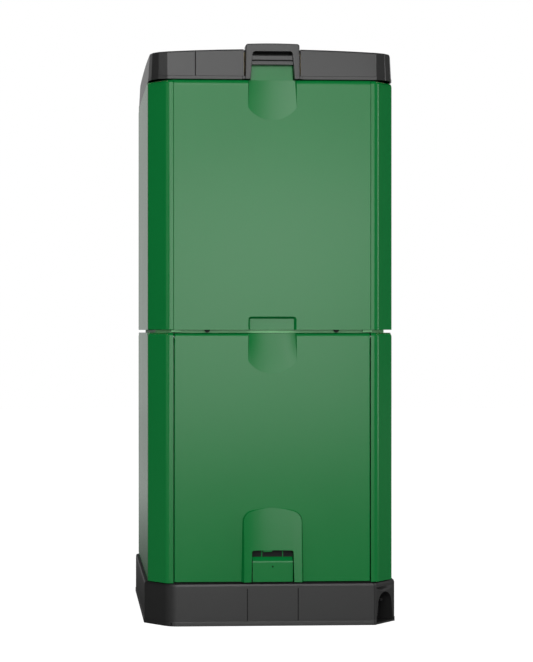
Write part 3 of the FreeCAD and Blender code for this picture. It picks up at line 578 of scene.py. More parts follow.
PAD = {"half": 59.0, "height": 150.0, "arc": 12.0, "lean": 6.0, "hollow": 6.0, "shoulder": 15.0,
       "draft_low": 5.0, "draft_high": 2.6, "draft_crown": 0.4}
CUTOUT = {"high": 42.6, "low": 44.0, "back_high": 41.9, "back_low": 42.4, "depth": 7.0, "corner": 4.0}
CUTOUT_TOP = LATCH_HIGH.z + 14.0
CUTOUT_BACK = FRONT + CUTOUT["depth"]
CUTOUT_COLUMNS = 5
LEG_ROWS = 4
LEG_SHARES = (0.0, 0.25, 0.5, 0.7, 0.84, 0.93, 0.98, 1.0)
CROWN_SHARES = (0.0, 0.2, 0.4, 0.6, 0.8, 0.93, 1.0)


def pad_point(sheet, x, z):
    """Point of the pad's hollow face."""
    top = sheet.low + PAD["height"]
    proud = PAD["lean"] * (top - z) / PAD["height"] + PAD["hollow"] * (x / PAD["half"]) ** 2
    return (x, FRONT - proud, z)


def pad_crown(sheet, x):
    """Level of the pad's arched top with its round shoulders."""
    radius = (PAD["half"] ** 2 + PAD["arc"] ** 2) / (2 * PAD["arc"])
    past = max(0.0, (abs(x) - PAD["half"] + PAD["shoulder"]) / PAD["shoulder"])
    drop = PAD["shoulder"] * (1 - math.sqrt(max(0.0, 1 - past ** 2)))
    return sheet.low + PAD["height"] - radius + math.sqrt(radius ** 2 - x ** 2) - drop


def make_pad(shape, sheet):
    """Arched pad with a cut-out for the latch; gives its outline on the front and its edge at the foot."""
    half, bend, sill = PAD["half"], CUTOUT["corner"], CUTOUT_TOP
    straight, leg_top = CUTOUT["high"] - bend, sill - bend

    def leg_slide(level):
        return max(0.0, (leg_top - level) / (leg_top - sheet.low))

    def to_crown(x, z, share):
        return between(z, pad_crown(sheet, x), share)

    over = [(straight * step / CUTOUT_COLUMNS, sill) for step in range(CUTOUT_COLUMNS)]
    over += [(straight + bend * math.sin(turn), leg_top + bend * math.cos(turn)) for turn in arc(4)]
    low_rows = [leg_top + (sheet.low - sill + bend) * step / LEG_ROWS for step in range(1, LEG_ROWS + 1)]
    below = [(between(CUTOUT["high"], CUTOUT["low"], leg_slide(level)), level) for level in low_rows]
    rim_right = over + below
    side_x = [between(CUTOUT["high"], half, leg) for leg in LEG_SHARES]
    columns = over + [(x, leg_top) for x in side_x[1:]]
    for sign in (-1, 1):
        rows = []
        for share in CROWN_SHARES:
            rows.append([pad_point(sheet, sign * x, to_crown(x, z, share)) for x, z in columns])
        shape.strip(rows)
        leg_rows = [[pad_point(sheet, sign * x, leg_top) for x in side_x]]
        for x, level in below:
            leg_rows.append([pad_point(sheet, sign * between(x, half, leg), level) for leg in LEG_SHARES])
        shape.strip(leg_rows)
    edge = [(x, pad_crown(sheet, x)) for x, _ in columns]
    edge += [(half, to_crown(half, leg_top, share)) for share in reversed(CROWN_SHARES[:-1])]
    edge += [(half, level) for level in low_rows]
    shoulder = pad_crown(sheet, half)
    base = []
    for index, (x, z) in enumerate(edge):
        before = Vector(edge[index - 1]) if index else Vector((-edge[1][0], edge[1][1]))
        after = Vector(edge[min(index + 1, len(edge) - 1)])
        along = (after - before).normalized()
        slide = max(0.0, (shoulder - z) / (shoulder - sheet.low))
        draft = between(PAD["draft_high"], PAD["draft_low"], slide)
        if z > shoulder:
            draft = between(PAD["draft_crown"], PAD["draft_high"], (x / half) ** 2)
        base.append((x - along.y * draft, FRONT, z + along.x * draft))
    face_line = [pad_point(sheet, x, z) for x, z in edge]
    for sign in (-1, 1):
        wall = [sided(line, sign) for line in (face_line, base)]
        shape.strip(wall)
        for line in wall:
            shape.crease(line)
    back_line = []
    for x, z in rim_right:
        slide = leg_slide(z)
        wide = between(CUTOUT["back_high"], CUTOUT["back_low"], slide)
        scale = wide / between(CUTOUT["high"], CUTOUT["low"], slide)
        back_line.append((x * scale, CUTOUT_BACK, z))
    front_line = [pad_point(sheet, x, z) for x, z in rim_right]
    for sign in (-1, 1):
        wall = [sided(line, sign) for line in (front_line, back_line)]
        shape.strip(wall)
        shape.crease(wall[0])
    shape.fill(mirrored(back_line[1:]) + back_line)
    leg_foot = [pad_point(sheet, between(CUTOUT["low"], half, leg), sheet.low) for leg in LEG_SHARES]
    right = [back_line[-1]] + leg_foot + [base[-1]]
    return mirrored(base[1:]) + base, mirrored(right) + right


DOOR_PLATE = 15.0
DOOR_BOSS = 18.0
PIN_HOLE = {"radius": 3.05, "depth": 14.0, "steps": 20}
LATCH_SPACE = 43.2
RAIL = {"at": 21.5, "half": 1.1, "proud": 2.0}
STOP = {"left": -19.0, "right": -1.0, "proud": 9.0, "tall": 3.4}
SMALL_EDGE = 0.4
SUNK = 0.8


def make_door(sizes):
    """Lower front door with its scoop, the arched pad and the space for the latch."""
    back, middle = FRONT + DOOR_PLATE, DOOR_PLATE / 2
    sheet = FrontSheet(
        DOOR_HIGH.x, DOOR_LOW.z, DOOR_HIGH.z, back, sizes.door_edge / MM, middle, middle, DOOR_SCOOP["depth"],
        DOOR_SCOOP["hollow"])
    shape = Shape()
    outline, top_edge = sheet.make_scoop(shape)
    pad_outline, foot_edge = make_pad(shape, sheet)
    sheet.make_sides(shape)
    sheet.make_middle(shape, pad_outline, outline)
    for _, loop in sheet.end_loops(top_edge, foot_edge):
        shape.fill(loop)
    eye = circle((FRONT + middle, sheet.high - middle), PIN_HOLE["radius"], PIN_HOLE["steps"])
    for sign in (-1, 1):
        mouth = [(sign * sheet.half, y, z) for y, z in eye]
        bottom = [(sign * (sheet.half - PIN_HOLE["depth"]), y, z) for y, z in eye]
        shape.fill(sided(sheet.side_rows()[-1], sign), mouth)
        shape.strip([mouth, bottom], closed=True)
        shape.face(bottom)
    hole_half = sheet.half - SKIN
    latch_top = CUTOUT_TOP + SKIN
    floor, roof = sheet.low + SKIN, sheet.high - DOOR_BOSS
    hole = [(-hole_half, floor), (-LATCH_SPACE, floor), (-LATCH_SPACE, latch_top), (LATCH_SPACE, latch_top),
            (LATCH_SPACE, floor), (hole_half, floor), (hole_half, roof), (-hole_half, roof)]
    boss_low = sheet.high - SCOOP["height"] - SKIN
    boss_back = FRONT + sheet.depth + sheet.hollow + SKIN
    hole_loop = cavity(shape, hole, back, FRONT + SKIN, [(SCOOP["half"] + SKIN, boss_low, roof, boss_back)])
    right = sheet.side_outline()
    shape.fill(mirrored(right) + right, hole_loop)
    blocks = []
    for at in (-RAIL["at"], RAIL["at"]):
        blocks.append(soft_block(
            (at - RAIL["half"], CUTOUT_BACK - RAIL["proud"], sheet.low),
            (at + RAIL["half"], CUTOUT_BACK + SUNK, CUTOUT_TOP), SMALL_EDGE))
    blocks.append(soft_block(
        (STOP["left"], CUTOUT_BACK - STOP["proud"], CUTOUT_TOP - STOP["tall"]),
        (STOP["right"], CUTOUT_BACK + SUNK, CUTOUT_TOP + SUNK), SMALL_EDGE))
    return joined(shape.close(), *blocks)


# Lid

LID_CUT = 18.0
LID_FLAT = 214.0
LID_LEAN = 0.3
LEAN_FADE = 30.0
LID_BEND = LID_FLAT + 1.5
LID_WALL = 3.0
LID_DRAFT = 2.4
LID_FOOT = UPPER_TOP + 5.0
LID_CORNER = 6.0
LEAST_CORNER = 4.0
LID_EDGE_STEPS = 8
LID_TOP_SHARES = (1.0, 0.88, 0.72, 0.52, 0.32, 0.14)
LIP = {"clear": 1.4, "height": 5.9, "proud": 0.8, "step": 0.8}
LIP_LEVEL = UPPER_TOP + LIP["clear"]
SEAM = {"at": -157.7, "half": 1.1, "depth": 1.8, "rows": slice(2, 9)}
GAP_HALF = HOUSING_HIGH.x + 2.0
GAP_DEPTH = 21.0
HINGE_AT = 150.0
WINDOW = {"half": 15.6, "depth": 12.0, "inset": 0.3, "clear": 0.6}
KNUCKLE = {"end": 27.6, "radius": 6.0, "bore": 3.05, "rim": 0.6, "level": 4.0, "back": 4.0, "steps": 24}
FOAM = {"clear": 1.0, "room": 5.0, "reach": 0.5}
FRONT_STATIONS = (
    -LID_BEND, -LID_FLAT, -185, SEAM["at"] - SEAM["half"], SEAM["at"], SEAM["at"] + SEAM["half"], -110,
    -GAP_HALF, -28, 0, 28, GAP_HALF, 110, 150, 185, LID_FLAT, LID_BEND)
SIDE_STATIONS = (-LID_BEND, -LID_FLAT, -150, -75, 0, 75, 150, LID_FLAT, LID_BEND)
HINGE_STATIONS = [
    sign * (HINGE_AT + offset) for sign in (-1, 1)
    for offset in (-KNUCKLE["end"], -WINDOW["half"], WINDOW["half"], KNUCKLE["end"])]
REAR_STATIONS = sorted(HINGE_STATIONS + [-LID_BEND, -LID_FLAT, -60, 0, 60, LID_FLAT, LID_BEND])
TAN_EIGHTH = math.tan(math.pi / 8)
MITRE = 2 - math.sqrt(2)


def octagon_loop(half, cut, radius, stations, steps=5, last=None):
    """Loop of (x, y) round a square with cut and rounded corners.

    Stations are places along the front, right, rear and left sides, given as x or y. The last corner, at the
    left of the front, may have a radius of its own.
    """
    flat = half - cut
    corners = [(flat, -half), (half, -flat), (half, flat), (flat, half),
               (-flat, half), (-half, flat), (-half, -flat), (-flat, -half)]
    front, right, rear, left = stations
    sides = {7: [(x, -half) for x in front], 1: [(half, y) for y in right],
             3: [(x, half) for x in reversed(rear)], 5: [(-half, y) for y in reversed(left)]}
    loop = list(sides[7])
    for index, corner in enumerate(corners):
        here = Vector(corner)
        if last and index == 7:
            radius = last
        reach = radius * TAN_EIGHTH
        before = (Vector(corners[index - 1]) - here).normalized()
        after = (Vector(corners[(index + 1) % 8]) - here).normalized()
        start = here + before * reach
        centre = here + (before + after).normalized() * radius / math.cos(math.pi / 8)
        first = start - centre
        for step in range(steps + 1):
            turn = math.pi / 4 * step / steps
            offset = Vector((
                first.x * math.cos(turn) - first.y * math.sin(turn),
                first.x * math.sin(turn) + first.y * math.cos(turn)))
            loop.append(tuple(centre + offset))
        if index in sides and index != 7:
            loop += sides[index]
    return loop


def lid_loop(inset):
    """Outline of the lid at an inset."""
    loop = octagon_loop(
        LID_HIGH.x - inset, LID_CUT - inset * MITRE, max(LID_CORNER - inset, LEAST_CORNER),
        (FRONT_STATIONS, SIDE_STATIONS, REAR_STATIONS, SIDE_STATIONS))
    slope = LID_LEAN * (1 - max(inset, 0.0) / LEAN_FADE)
    return [leaned(x, y, slope) for x, y in loop]


def leaned(x, y, slope):
    """Place on the lid's outline, whose sides lean in near the corners."""
    lean = slope * max(0.0, min(abs(x), abs(y)) - LID_FLAT)
    if abs(y) > abs(x):
        return (x, y - math.copysign(lean, y))
    return (x - math.copysign(lean, x), y)


def crown_level(x, y, dome):
    """Level of the lid's domed top."""
    return LID_HIGH.z - (x ** 2 + y ** 2) / (2 * dome)


def lid_under(x, y, sizes):
    """Highest level under the lid's wall."""
    half, bend = LID_HIGH.x, sizes.lid_edge / MM
    inset = min(half - abs(x), half - abs(y), (2 * half - LID_CUT - abs(x) - abs(y)) / math.sqrt(2))
    past = max(0.0, LID_DRAFT + bend - inset)
    drop = bend - math.sqrt(max(0.0, bend ** 2 - past ** 2))
    return crown_level(x, y, sizes.lid_dome / MM) - drop - LID_WALL - FOAM["clear"]


def make_lid_foam(sizes):
    """Foam of the lid, kept under the lid's wall and clear of the housing."""
    mesh = node_copy("lid_foam")
    room, reach = FOAM["room"], FOAM["reach"]
    for vert in mesh.verts:
        x, y, z = vert.co / MM
        if abs(x) < HOUSING_HIGH.x + reach and y < HOUSING_HIGH.y + reach:
            x += math.copysign(room, x)
            y = max(y, HOUSING_HIGH.y + room) if y > HOUSING_HIGH.y - reach else y
        vert.co = Vector((x, y, min(z, lid_under(x, y, sizes)))) * MM
    return mesh


def make_lid(sizes):
    """Domed lid with a lip round its foot, a gap for the latch housing and hinge knuckles."""
    dome, bend = sizes.lid_dome / MM, sizes.lid_edge / MM
    axis = (HALF - KNUCKLE["back"], LID_FOOT + KNUCKLE["level"])
    window_top = axis[1] + KNUCKLE["radius"] + WINDOW["clear"]
    lip_top = LIP_LEVEL + LIP["height"]
    shoulder = [crown_level(x, y, dome) - bend for x, y in lid_loop(LID_DRAFT + bend)]
    rows = []
    for inset, level in ((-LIP["proud"], LIP_LEVEL), (-LIP["proud"], lip_top), (0.0, lip_top + LIP["step"]),
                         (WINDOW["inset"], window_top)):
        rows.append([(x, y, level) for x, y in lid_loop(inset)])
    for turn in arc(LID_EDGE_STEPS):
        loop = lid_loop(LID_DRAFT + bend * (1 - math.cos(turn)))
        rows.append([(x, y, low + bend * math.sin(turn)) for (x, y), low in zip(loop, shoulder)])
    last = lid_loop(GAP_DEPTH)
    for share in LID_TOP_SHARES:
        rows.append([(x * share, y * share, crown_level(x * share, y * share, dome)) for x, y in last])
    for row in rows[SEAM["rows"]]:
        row[:] = [(x, y + SEAM["depth"] * (abs(x - SEAM["at"]) < TOUCH and y < 0), z) for x, y, z in row]
    shape = Shape()
    shape.strip(rows, closed=True)
    for start, end in zip(rows[-1], rows[-1][1:] + rows[-1][:1]):
        shape.face([start, end, (0, 0, LID_HIGH.z)])
    mesh = shape.close()
    gone = []
    for face in mesh.faces:
        x, y, z = face.calc_center_median() / MM
        at_housing = abs(x) < GAP_HALF and y < -LID_HIGH.x + GAP_DEPTH
        at_hinge = abs(abs(x) - HINGE_AT) < WINDOW["half"] and y > HALF - WINDOW["depth"]
        if at_housing or at_hinge and z < window_top:
            gone.append(face)
    bmesh.ops.delete(mesh, geom=gone, context="FACES")
    knuckles = []
    for sign in (-1, 1):
        for side in (-1, 1):
            start, end = (sign * HINGE_AT + side * offset for offset in (WINDOW["half"], KNUCKLE["end"]))
            knuckles.append(make_knuckle(start, end, axis))
    return joined(thickened(mesh, LID_WALL), *knuckles)


def thickened(mesh, depth):
    """Sheet given a thickness inwards."""
    data = bpy.data.meshes.new("sheet")
    mesh.to_mesh(data)
    mesh.free()
    item = bpy.data.objects.new("sheet", data)
    bpy.context.scene.collection.objects.link(item)
    wall = item.modifiers.new("Wall", "SOLIDIFY")
    wall.thickness = depth * MM
    wall.offset = -1
    wall.use_even_offset = True
    graph = bpy.context.evaluated_depsgraph_get()
    solid = bpy.data.meshes.new_from_object(item.evaluated_get(graph))
    result = bmesh.new()
    result.from_mesh(solid)
    bpy.data.objects.remove(item)
    bpy.data.meshes.remove(data)
    bpy.data.meshes.remove(solid)
    return result


def make_knuckle(start, end, axis):
    """Ring of a hinge along X with softened rims."""
    low, high = sorted((start, end))
    radius, bore, rim = KNUCKLE["radius"], KNUCKLE["bore"], KNUCKLE["rim"]
    profile = ((low, bore), (low, radius - rim), (low + rim, radius), (high - rim, radius),
               (high, radius - rim), (high, bore))
    rows = [[(x, y, z) for y, z in circle(axis, size, KNUCKLE["steps"])] for x, size in profile]
    shape = Shape()
    shape.strip(rows + rows[:1], closed=True)
    return shape.close()


HOUSING = {"foot_half": 56.2, "head_half": 55.2, "corner": 5.0, "bow": 1.0, "edge": 2.2, "rear_edge": 3.0,
           "recess_foot": 45.4, "recess_head": 40.8, "recess_corner": 5.5, "recess_edge": 0.9,
           "recess_draft": 0.6, "recess_top": 16.6, "wall": 3.0}
HOUSING_FOOT = {"inside": 50.0, "outside": 61.5, "front": 1.6, "back": 9.0, "tall": 6.0, "edge": 0.8}
SHOULDER_STEPS = 5
BOW_STEPS = 4


def arch_line(foot, head, foot_half, head_half, corner, bow):
    """Outline of an upright arch with round shoulders, from its left foot to its right foot."""
    left = [(-foot_half, foot), (-(foot_half + head_half) / 2, (foot + head) / 2)]
    for turn in arc(SHOULDER_STEPS):
        left.append((
            -head_half + corner - corner * math.cos(turn), head - bow - corner + corner * math.sin(turn)))
    straight = head_half - corner
    for step in range(1, BOW_STEPS + 1):
        x = straight * (step / BOW_STEPS - 1)
        left.append((x, head - bow * (x / straight) ** 2))
    return left + [(-x, z) for x, z in reversed(left[:-1])]


def make_housing():
    """Frame on the lid's front, open at its foot, with a recess for the lever."""
    foot, head = LIP_LEVEL, HOUSING_HIGH.z
    front, back = HOUSING_LOW.y, HOUSING_HIGH.y
    edge, rear_edge, recess_edge = HOUSING["edge"], HOUSING["rear_edge"], HOUSING["recess_edge"]

    def outer(inset):
        return arch_line(
            foot, head - inset, HOUSING["foot_half"] - inset, HOUSING["head_half"] - inset,
            HOUSING["corner"] - inset, HOUSING["bow"])

    def recess(outset):
        return arch_line(
            foot, head - HOUSING["recess_top"] + outset, HOUSING["recess_foot"] + outset,
            HOUSING["recess_head"] + outset, HOUSING["recess_corner"] + outset, 0.0)

    rows = []
    for turn in arc(4):
        depth = front + edge * (1 - math.cos(turn))
        rows.append([(x, depth, z) for x, z in outer(edge * (1 - math.sin(turn)))])
    for turn in arc(4):
        depth = back - rear_edge + rear_edge * math.sin(turn)
        rows.append([(x, depth, z) for x, z in outer(rear_edge * (1 - math.cos(turn)))])
    shape = Shape()
    shape.strip(rows)
    inner_rows = []
    for turn in arc(3):
        depth = front + recess_edge * (1 - math.cos(turn))
        inner_rows.append([(x, depth, z) for x, z in recess(recess_edge * (1 - math.sin(turn)))])
    inner_rows.append([(x, back - HOUSING["wall"], z) for x, z in recess(-HOUSING["recess_draft"])])
    shape.strip(inner_rows)
    shape.fill(rows[0] + inner_rows[0][::-1])
    shape.fill(inner_rows[-1])
    shape.fill(rows[-1])
    left = [row[0] for row in reversed(rows)] + [row[0] for row in inner_rows]
    shape.fill(left + [row[-1] for row in reversed(inner_rows)] + [row[-1] for row in rows])
    feet = []
    inside, outside = HOUSING_FOOT["inside"], HOUSING_FOOT["outside"]
    for low, high in ((-outside, -inside), (inside, outside)):
        feet.append(soft_block(
            (low, front + HOUSING_FOOT["front"], foot),
            (high, front + HOUSING_FOOT["back"], foot + HOUSING_FOOT["tall"]), HOUSING_FOOT["edge"]))
    return joined(shape.close(), *feet)


LEVER = {"foot": 1145.6, "head": 1166.6, "foot_half": 42.3, "head_half": 40.7, "round": 3.4,
         "foot_round": 1.0, "groove": (1152.8, 1156.0), "groove_depth": 2.6, "groove_taper": 0.5, "bore": 2.6,
         "bore_steps": 20}
LEVER_FRONT, LEVER_BACK = (corner.y for corner in node_box("lid_latch"))
GROOVE_BED = LEVER_FRONT + LEVER["groove_depth"]


def lever_side(line, sign):
    """Line of (y, z) on a side of the lever, which narrows upwards."""
    places = []
    for y, z in line:
        share = (z - LEVER["foot"]) / (LEVER["head"] - LEVER["foot"])
        places.append((sign * between(LEVER["foot_half"], LEVER["head_half"], share), y, z))
    return places


def make_lever():
    """Lever with a groove across its front and a bore for its pin."""
    pin_low, pin_high = node_box("lid_latch_pin")
    front, foot, head = LEVER_FRONT, LEVER["foot"], LEVER["head"]
    big, small, taper = LEVER["round"], LEVER["foot_round"], LEVER["groove_taper"]
    groove_low, groove_high = LEVER["groove"]
    section = [(LEVER_BACK, foot)]
    for turn in arc(3):
        section.append((front + small - small * math.sin(turn), foot + small - small * math.cos(turn)))
    section += [(front, groove_low), (GROOVE_BED, groove_low + taper), (GROOVE_BED, groove_high - taper),
                (front, groove_high)]
    section += [(front + big - big * math.cos(turn), head - big + big * math.sin(turn)) for turn in arc(6)]
    section.append((LEVER_BACK, head))
    pin = ((pin_low.y + pin_high.y) / 2, (pin_low.z + pin_high.z) / 2)
    eye = circle(pin, LEVER["bore"], LEVER["bore_steps"])
    shape = Shape()
    for line in (section, eye):
        shape.strip([lever_side(line, -1), lever_side(line, 1)], closed=True)
    for sign in (-1, 1):
        shape.fill(lever_side(section, sign), lever_side(eye, sign))
    return shape.close()


# Base

NICHE_HALF = 32.0
BASE_CUT = 50.0
BASE_ROUND = 16.0
BASE_ROUND_STEPS = 8
BASE_EDGE = 3.0
BASE_EDGE_STEPS = 5
BASE_GROOVE = BASE_LOW.y + 1.5
BAND = {"tall": 9.0, "proud": 0.9, "inside": 2.0, "corner": 7.2, "slope": 1.0, "lean": 0.6, "root": 0.4}
BAND_STATIONS = ((0,), (0,), (0,), (0,))
RECESS = {"start": 0.02, "end": 0.8, "low": 24.0, "top": 1.5, "depth": 3.0}
LEFT_FACET = Vector((-1, -1, 0)).normalized()
RECESS_BED = (BASE_HIGH.x * 2 - BASE_CUT) / math.sqrt(2) - RECESS["depth"]


def make_base_lip():
    """Band round the foot of the base, open at the niche."""
    tall, proud, inside = BAND["tall"], BAND["proud"], BAND["inside"]
    profile = ((-inside, 0.0), (proud, 0.0), (proud, tall - BAND["slope"]), (proud - BAND["lean"], tall),
               (-inside, tall + BAND["root"]))
    along = Vector((1, 1, 0)).normalized() * NICHE_HALF
    rows = []
    for outset, level in profile:
        half, cut = BASE_HIGH.x + outset, BASE_CUT + outset * MITRE
        loop = octagon_loop(
            half, cut, BAND["corner"] + outset, BAND_STATIONS, steps=BASE_ROUND_STEPS,
            last=BASE_ROUND / TAN_EIGHTH + outset)
        points = [(x, y, level) for x, y in loop]
        middle = Vector((1, -1, 0)) * (half - cut / 2)
        split = next(
            index for index, place in enumerate(points)
            if (Vector(place) - middle).dot(along) > 0 and place[0] > 0 and place[1] < 0)
        before = tuple(middle - along)[:2] + (level,)
        after = tuple(middle + along)[:2] + (level,)
        rows.append([after] + points[split:] + points[:split] + [before])
    shape = Shape()
    shape.strip(rows + [rows[0]])
    shape.face([row[0] for row in rows])
    shape.face([row[-1] for row in rows])
    return shape.close()


def sink_facet(mesh):
    """Shallow recess in the front left facet of the base's skirt."""
    mesh.normal_update()
    facing = [face for face in mesh.faces if face.normal.dot(LEFT_FACET) > ALIGNED]
    facet = max(facing, key=lambda face: face.calc_area())
    places = [vert.co.copy() for vert in facet.verts]
    left, right = min(places, key=lambda place: place.x), max(places, key=lambda place: place.x)
    along = Vector((right.x - left.x, right.y - left.y, 0))
    low, top = RECESS["low"] * MM, max(place.z for place in places) - RECESS["top"] * MM
    inner = []
    for share, level in (("start", low), ("end", low), ("end", top), ("start", top)):
        spot = left + along * RECESS[share]
        inner.append(Vector((spot.x, spot.y, level)))
    rim = [mesh.verts.new(place) for place in inner]
    bed = [mesh.verts.new(place - LEFT_FACET * RECESS["depth"] * MM) for place in inner]
    outline = list(facet.edges)
    mesh.faces.remove(facet)
    for start in range(4):
        after = (start + 1) % 4
        outline.append(mesh.edges.new((rim[start], rim[after])))
        mesh.faces.new([rim[start], rim[after], bed[after], bed[start]])
    mesh.faces.new(bed)
    bmesh.ops.triangle_fill(mesh, use_beauty=True, use_dissolve=False, edges=outline)
    bmesh.ops.recalc_face_normals(mesh, faces=mesh.faces)
    return mesh


# Pieces that keep the shape of their nodes

WALL_FOOT_EDGE = 1.2
LEDGE = {"level": 82.0, "raised": 85.0, "bend": 81.3, "lean": 1.3, "rim": 5.0}
TONGUE = {"slope": 8.0, "edge": 2.5, "side_edge": 1.0, "side": 2.0, "wider": 1.2, "near": 0.2,
          "shortest": 3.0}
RING = {"edge": 2.4, "small_edge": 0.4, "lug_depth": 15.5, "ears": 150.0}
TAP_EDGE = 0.6


def bin_wall(node, sizes):
    """Corner post or plain panel with moulded edges."""
    corner, side = sizes.corner_edge / MM * TAN_EIGHTH, sizes.side_edge / MM * TAN_EIGHTH
    return softened(
        node, (front_corner, corner, 6), (outer_corner, side, 5), (outer_rim(1), sizes.wall_edge / MM, 4),
        (outer_rim(-1), WALL_FOOT_EDGE, 2), (outer_side, sizes.gap_edge / MM, 2))


def deck_corner(edge, facet):
    """Whether an edge is a steep corner of the deck, farther out than its facets."""
    start, end = ends(edge)
    steep = abs(start.z - end.z) > STEEP * (start - end).length and edge.calc_face_angle(0) > CLEAR_TURN
    outer = all(abs(place.x) + abs(place.y) > facet for place in (start, end))
    return steep and outer and edge.is_convex


def at_left_front(edge):
    """Whether an edge is on the left half of the front."""
    place = ends(edge)[0]
    return place.x < 0 and place.y < 0 and abs(place.y) > abs(place.x)


def make_deck():
    """Deck of the base with a sloping front edge on its ledge."""
    mesh = node_copy("base_deck")
    parts = list(mesh.verts) + list(mesh.edges) + list(mesh.faces)
    bmesh.ops.bisect_plane(mesh, geom=parts, plane_co=(0, 0, LEDGE["bend"] * MM), plane_no=(0, 0, 1))
    rim = BASE_HIGH.x - LEDGE["rim"]
    facet = 2 * rim - BASE_CUT
    for vert in mesh.verts:
        x, y, z = vert.co / MM
        if abs(z - LEDGE["level"]) < NEAR:
            outer = max(abs(x), abs(y)) > rim or abs(x) + abs(y) > facet
            share = 1 - outer * LEDGE["lean"] / BASE_HIGH.x
            vert.co = Vector((x * share, y * share, LEDGE["raised"])) * MM
    mesh.normal_update()
    for left, radius, steps in ((True, BASE_ROUND, BASE_ROUND_STEPS), (False, BASE_EDGE, BASE_EDGE_STEPS)):
        corners = [edge for edge in mesh.edges if deck_corner(edge, facet) and at_left_front(edge) == left]
        round_edges(mesh, corners, radius, steps)
        mesh.normal_update()
    return mesh


def latch_front(level):
    """Test for the level front edge at the top or foot of a latch."""
    def test(edge):
        forward = any(face.normal.y < -FACING for face in edge.link_faces)
        return forward and all(abs(place.z - level) < TONGUE["near"] for place in ends(edge))
    return test


def latch_side(edge):
    """Upright front edge of a latch."""
    forward = any(face.normal.y < -HALFWAY for face in edge.link_faces)
    beside = any(abs(face.normal.x) > FACING for face in edge.link_faces)
    return forward and beside and edge.calc_length() > TONGUE["shortest"] * MM


def widen(mesh, beyond, extra):
    """Move the sides of a piece outwards along X."""
    for vert in mesh.verts:
        if abs(vert.co.x) > beyond * MM:
            vert.co.x += math.copysign(extra * MM, vert.co.x)


def paint_shade(item, test):
    """Give chosen faces of an object the liner's black as painted shade."""
    item.data.materials.append(finish("liner_plastic"))
    for face in item.data.polygons:
        if test(face):
            face.material_index = 1


def front_at(depth, miss=TOUCH):
    """Test for faces that look forward at a depth, give or take a miss."""
    def test(face):
        return face.normal.y < -FACING and abs(face.center.y / MM - depth) < miss
    return test


def ring_shadow(face):
    """Test for the lugs of the neck ring and the sides of its ears, which get painted shade."""
    at_lug = abs(face.center.x) < RING["ears"] * MM
    return face.center.y < (FRONT + RING["lug_depth"]) * MM and (at_lug or face.normal.y > -ASLANT)


def recess_bed(face):
    """Test for the bed of the recess in the base's left facet."""
    return face.normal.dot(LEFT_FACET) > ALIGNED and abs(face.center.dot(LEFT_FACET) / MM - RECESS_BED) < NEAR


# Finishes

# Gain of the edge mask for scuffs and painted highlight.
WEAR_AND_HIGHLIGHT_GAIN = 6.0
LINE_GLOSS = {"least": 0.22, "change": 0.2}


def new_group(name, inputs, outputs):
    """Empty shader node group with its sockets; inputs have a default and a range."""
    group = bpy.data.node_groups.new(name, "ShaderNodeTree")
    for label, (default, low, high) in inputs.items():
        socket = group.interface.new_socket(label, in_out="INPUT", socket_type="NodeSocketFloat")
        socket.default_value = default
        socket.min_value = low
        socket.max_value = high
    for label, kind in outputs.items():
        group.interface.new_socket(label, in_out="OUTPUT", socket_type=kind)
    start = group.nodes.new("NodeGroupInput")
    end = group.nodes.new("NodeGroupOutput")
    return group, start, end


def add_node(tree, kind, links=(), **settings):
    """Node with settings; links are pairs of an input name or number and a source socket or value."""
    node = tree.nodes.new(kind)
    for label, setting in settings.items():
        setattr(node, label, setting)
    for key, source in links:
        if isinstance(source, bpy.types.NodeSocket):
            tree.links.new(source, node.inputs[key])
        else:
            node.inputs[key].default_value = source
    return node


def place_of(tree):
    """Place on the object, in metres."""
    return add_node(tree, "ShaderNodeTexCoord").outputs["Object"]


def math_node(tree, operation, first, second=0.0, third=0.0, clamp=False):
    """Result of one sum."""
    node = add_node(
        tree, "ShaderNodeMath", [(0, first), (1, second), (2, third)], operation=operation, use_clamp=clamp)
    return node.outputs[0]


def grain_group():
    """Fine moulded grain, with slow changes of tone and gloss over a piece."""
    name = "Moulded grain"
    if name in bpy.data.node_groups:
        return bpy.data.node_groups[name]
    group, start, end = new_group(
        name, {"Grain size": (900.0, 1.0, 5000.0), "Mottle size": (7.0, 0.1, 200.0), "Gloss": (0.4, 0.0, 1.0),
               "Gloss change": (0.03, 0.0, 1.0)},
        {"Height": "NodeSocketFloat", "Roughness": "NodeSocketFloat", "Tone": "NodeSocketFloat"})
    place = place_of(group)
    fine = add_node(
        group, "ShaderNodeTexNoise",
        [("Vector", place), ("Scale", start.outputs["Grain size"]), ("Detail", 2.0)])
    slow = add_node(
        group, "ShaderNodeTexNoise",
        [("Vector", place), ("Scale", start.outputs["Mottle size"]), ("Detail", 3.0), ("Roughness", 0.55)])
    centred = math_node(group, "SUBTRACT", slow.outputs["Fac"], 0.5)
    change = math_node(group, "MULTIPLY", centred, start.outputs["Gloss change"])
    rough = math_node(group, "ADD", start.outputs["Gloss"], change, clamp=True)
    group.links.new(fine.outputs["Fac"], end.inputs["Height"])
    group.links.new(rough, end.inputs["Roughness"])
    group.links.new(slow.outputs["Fac"], end.inputs["Tone"])
    return group


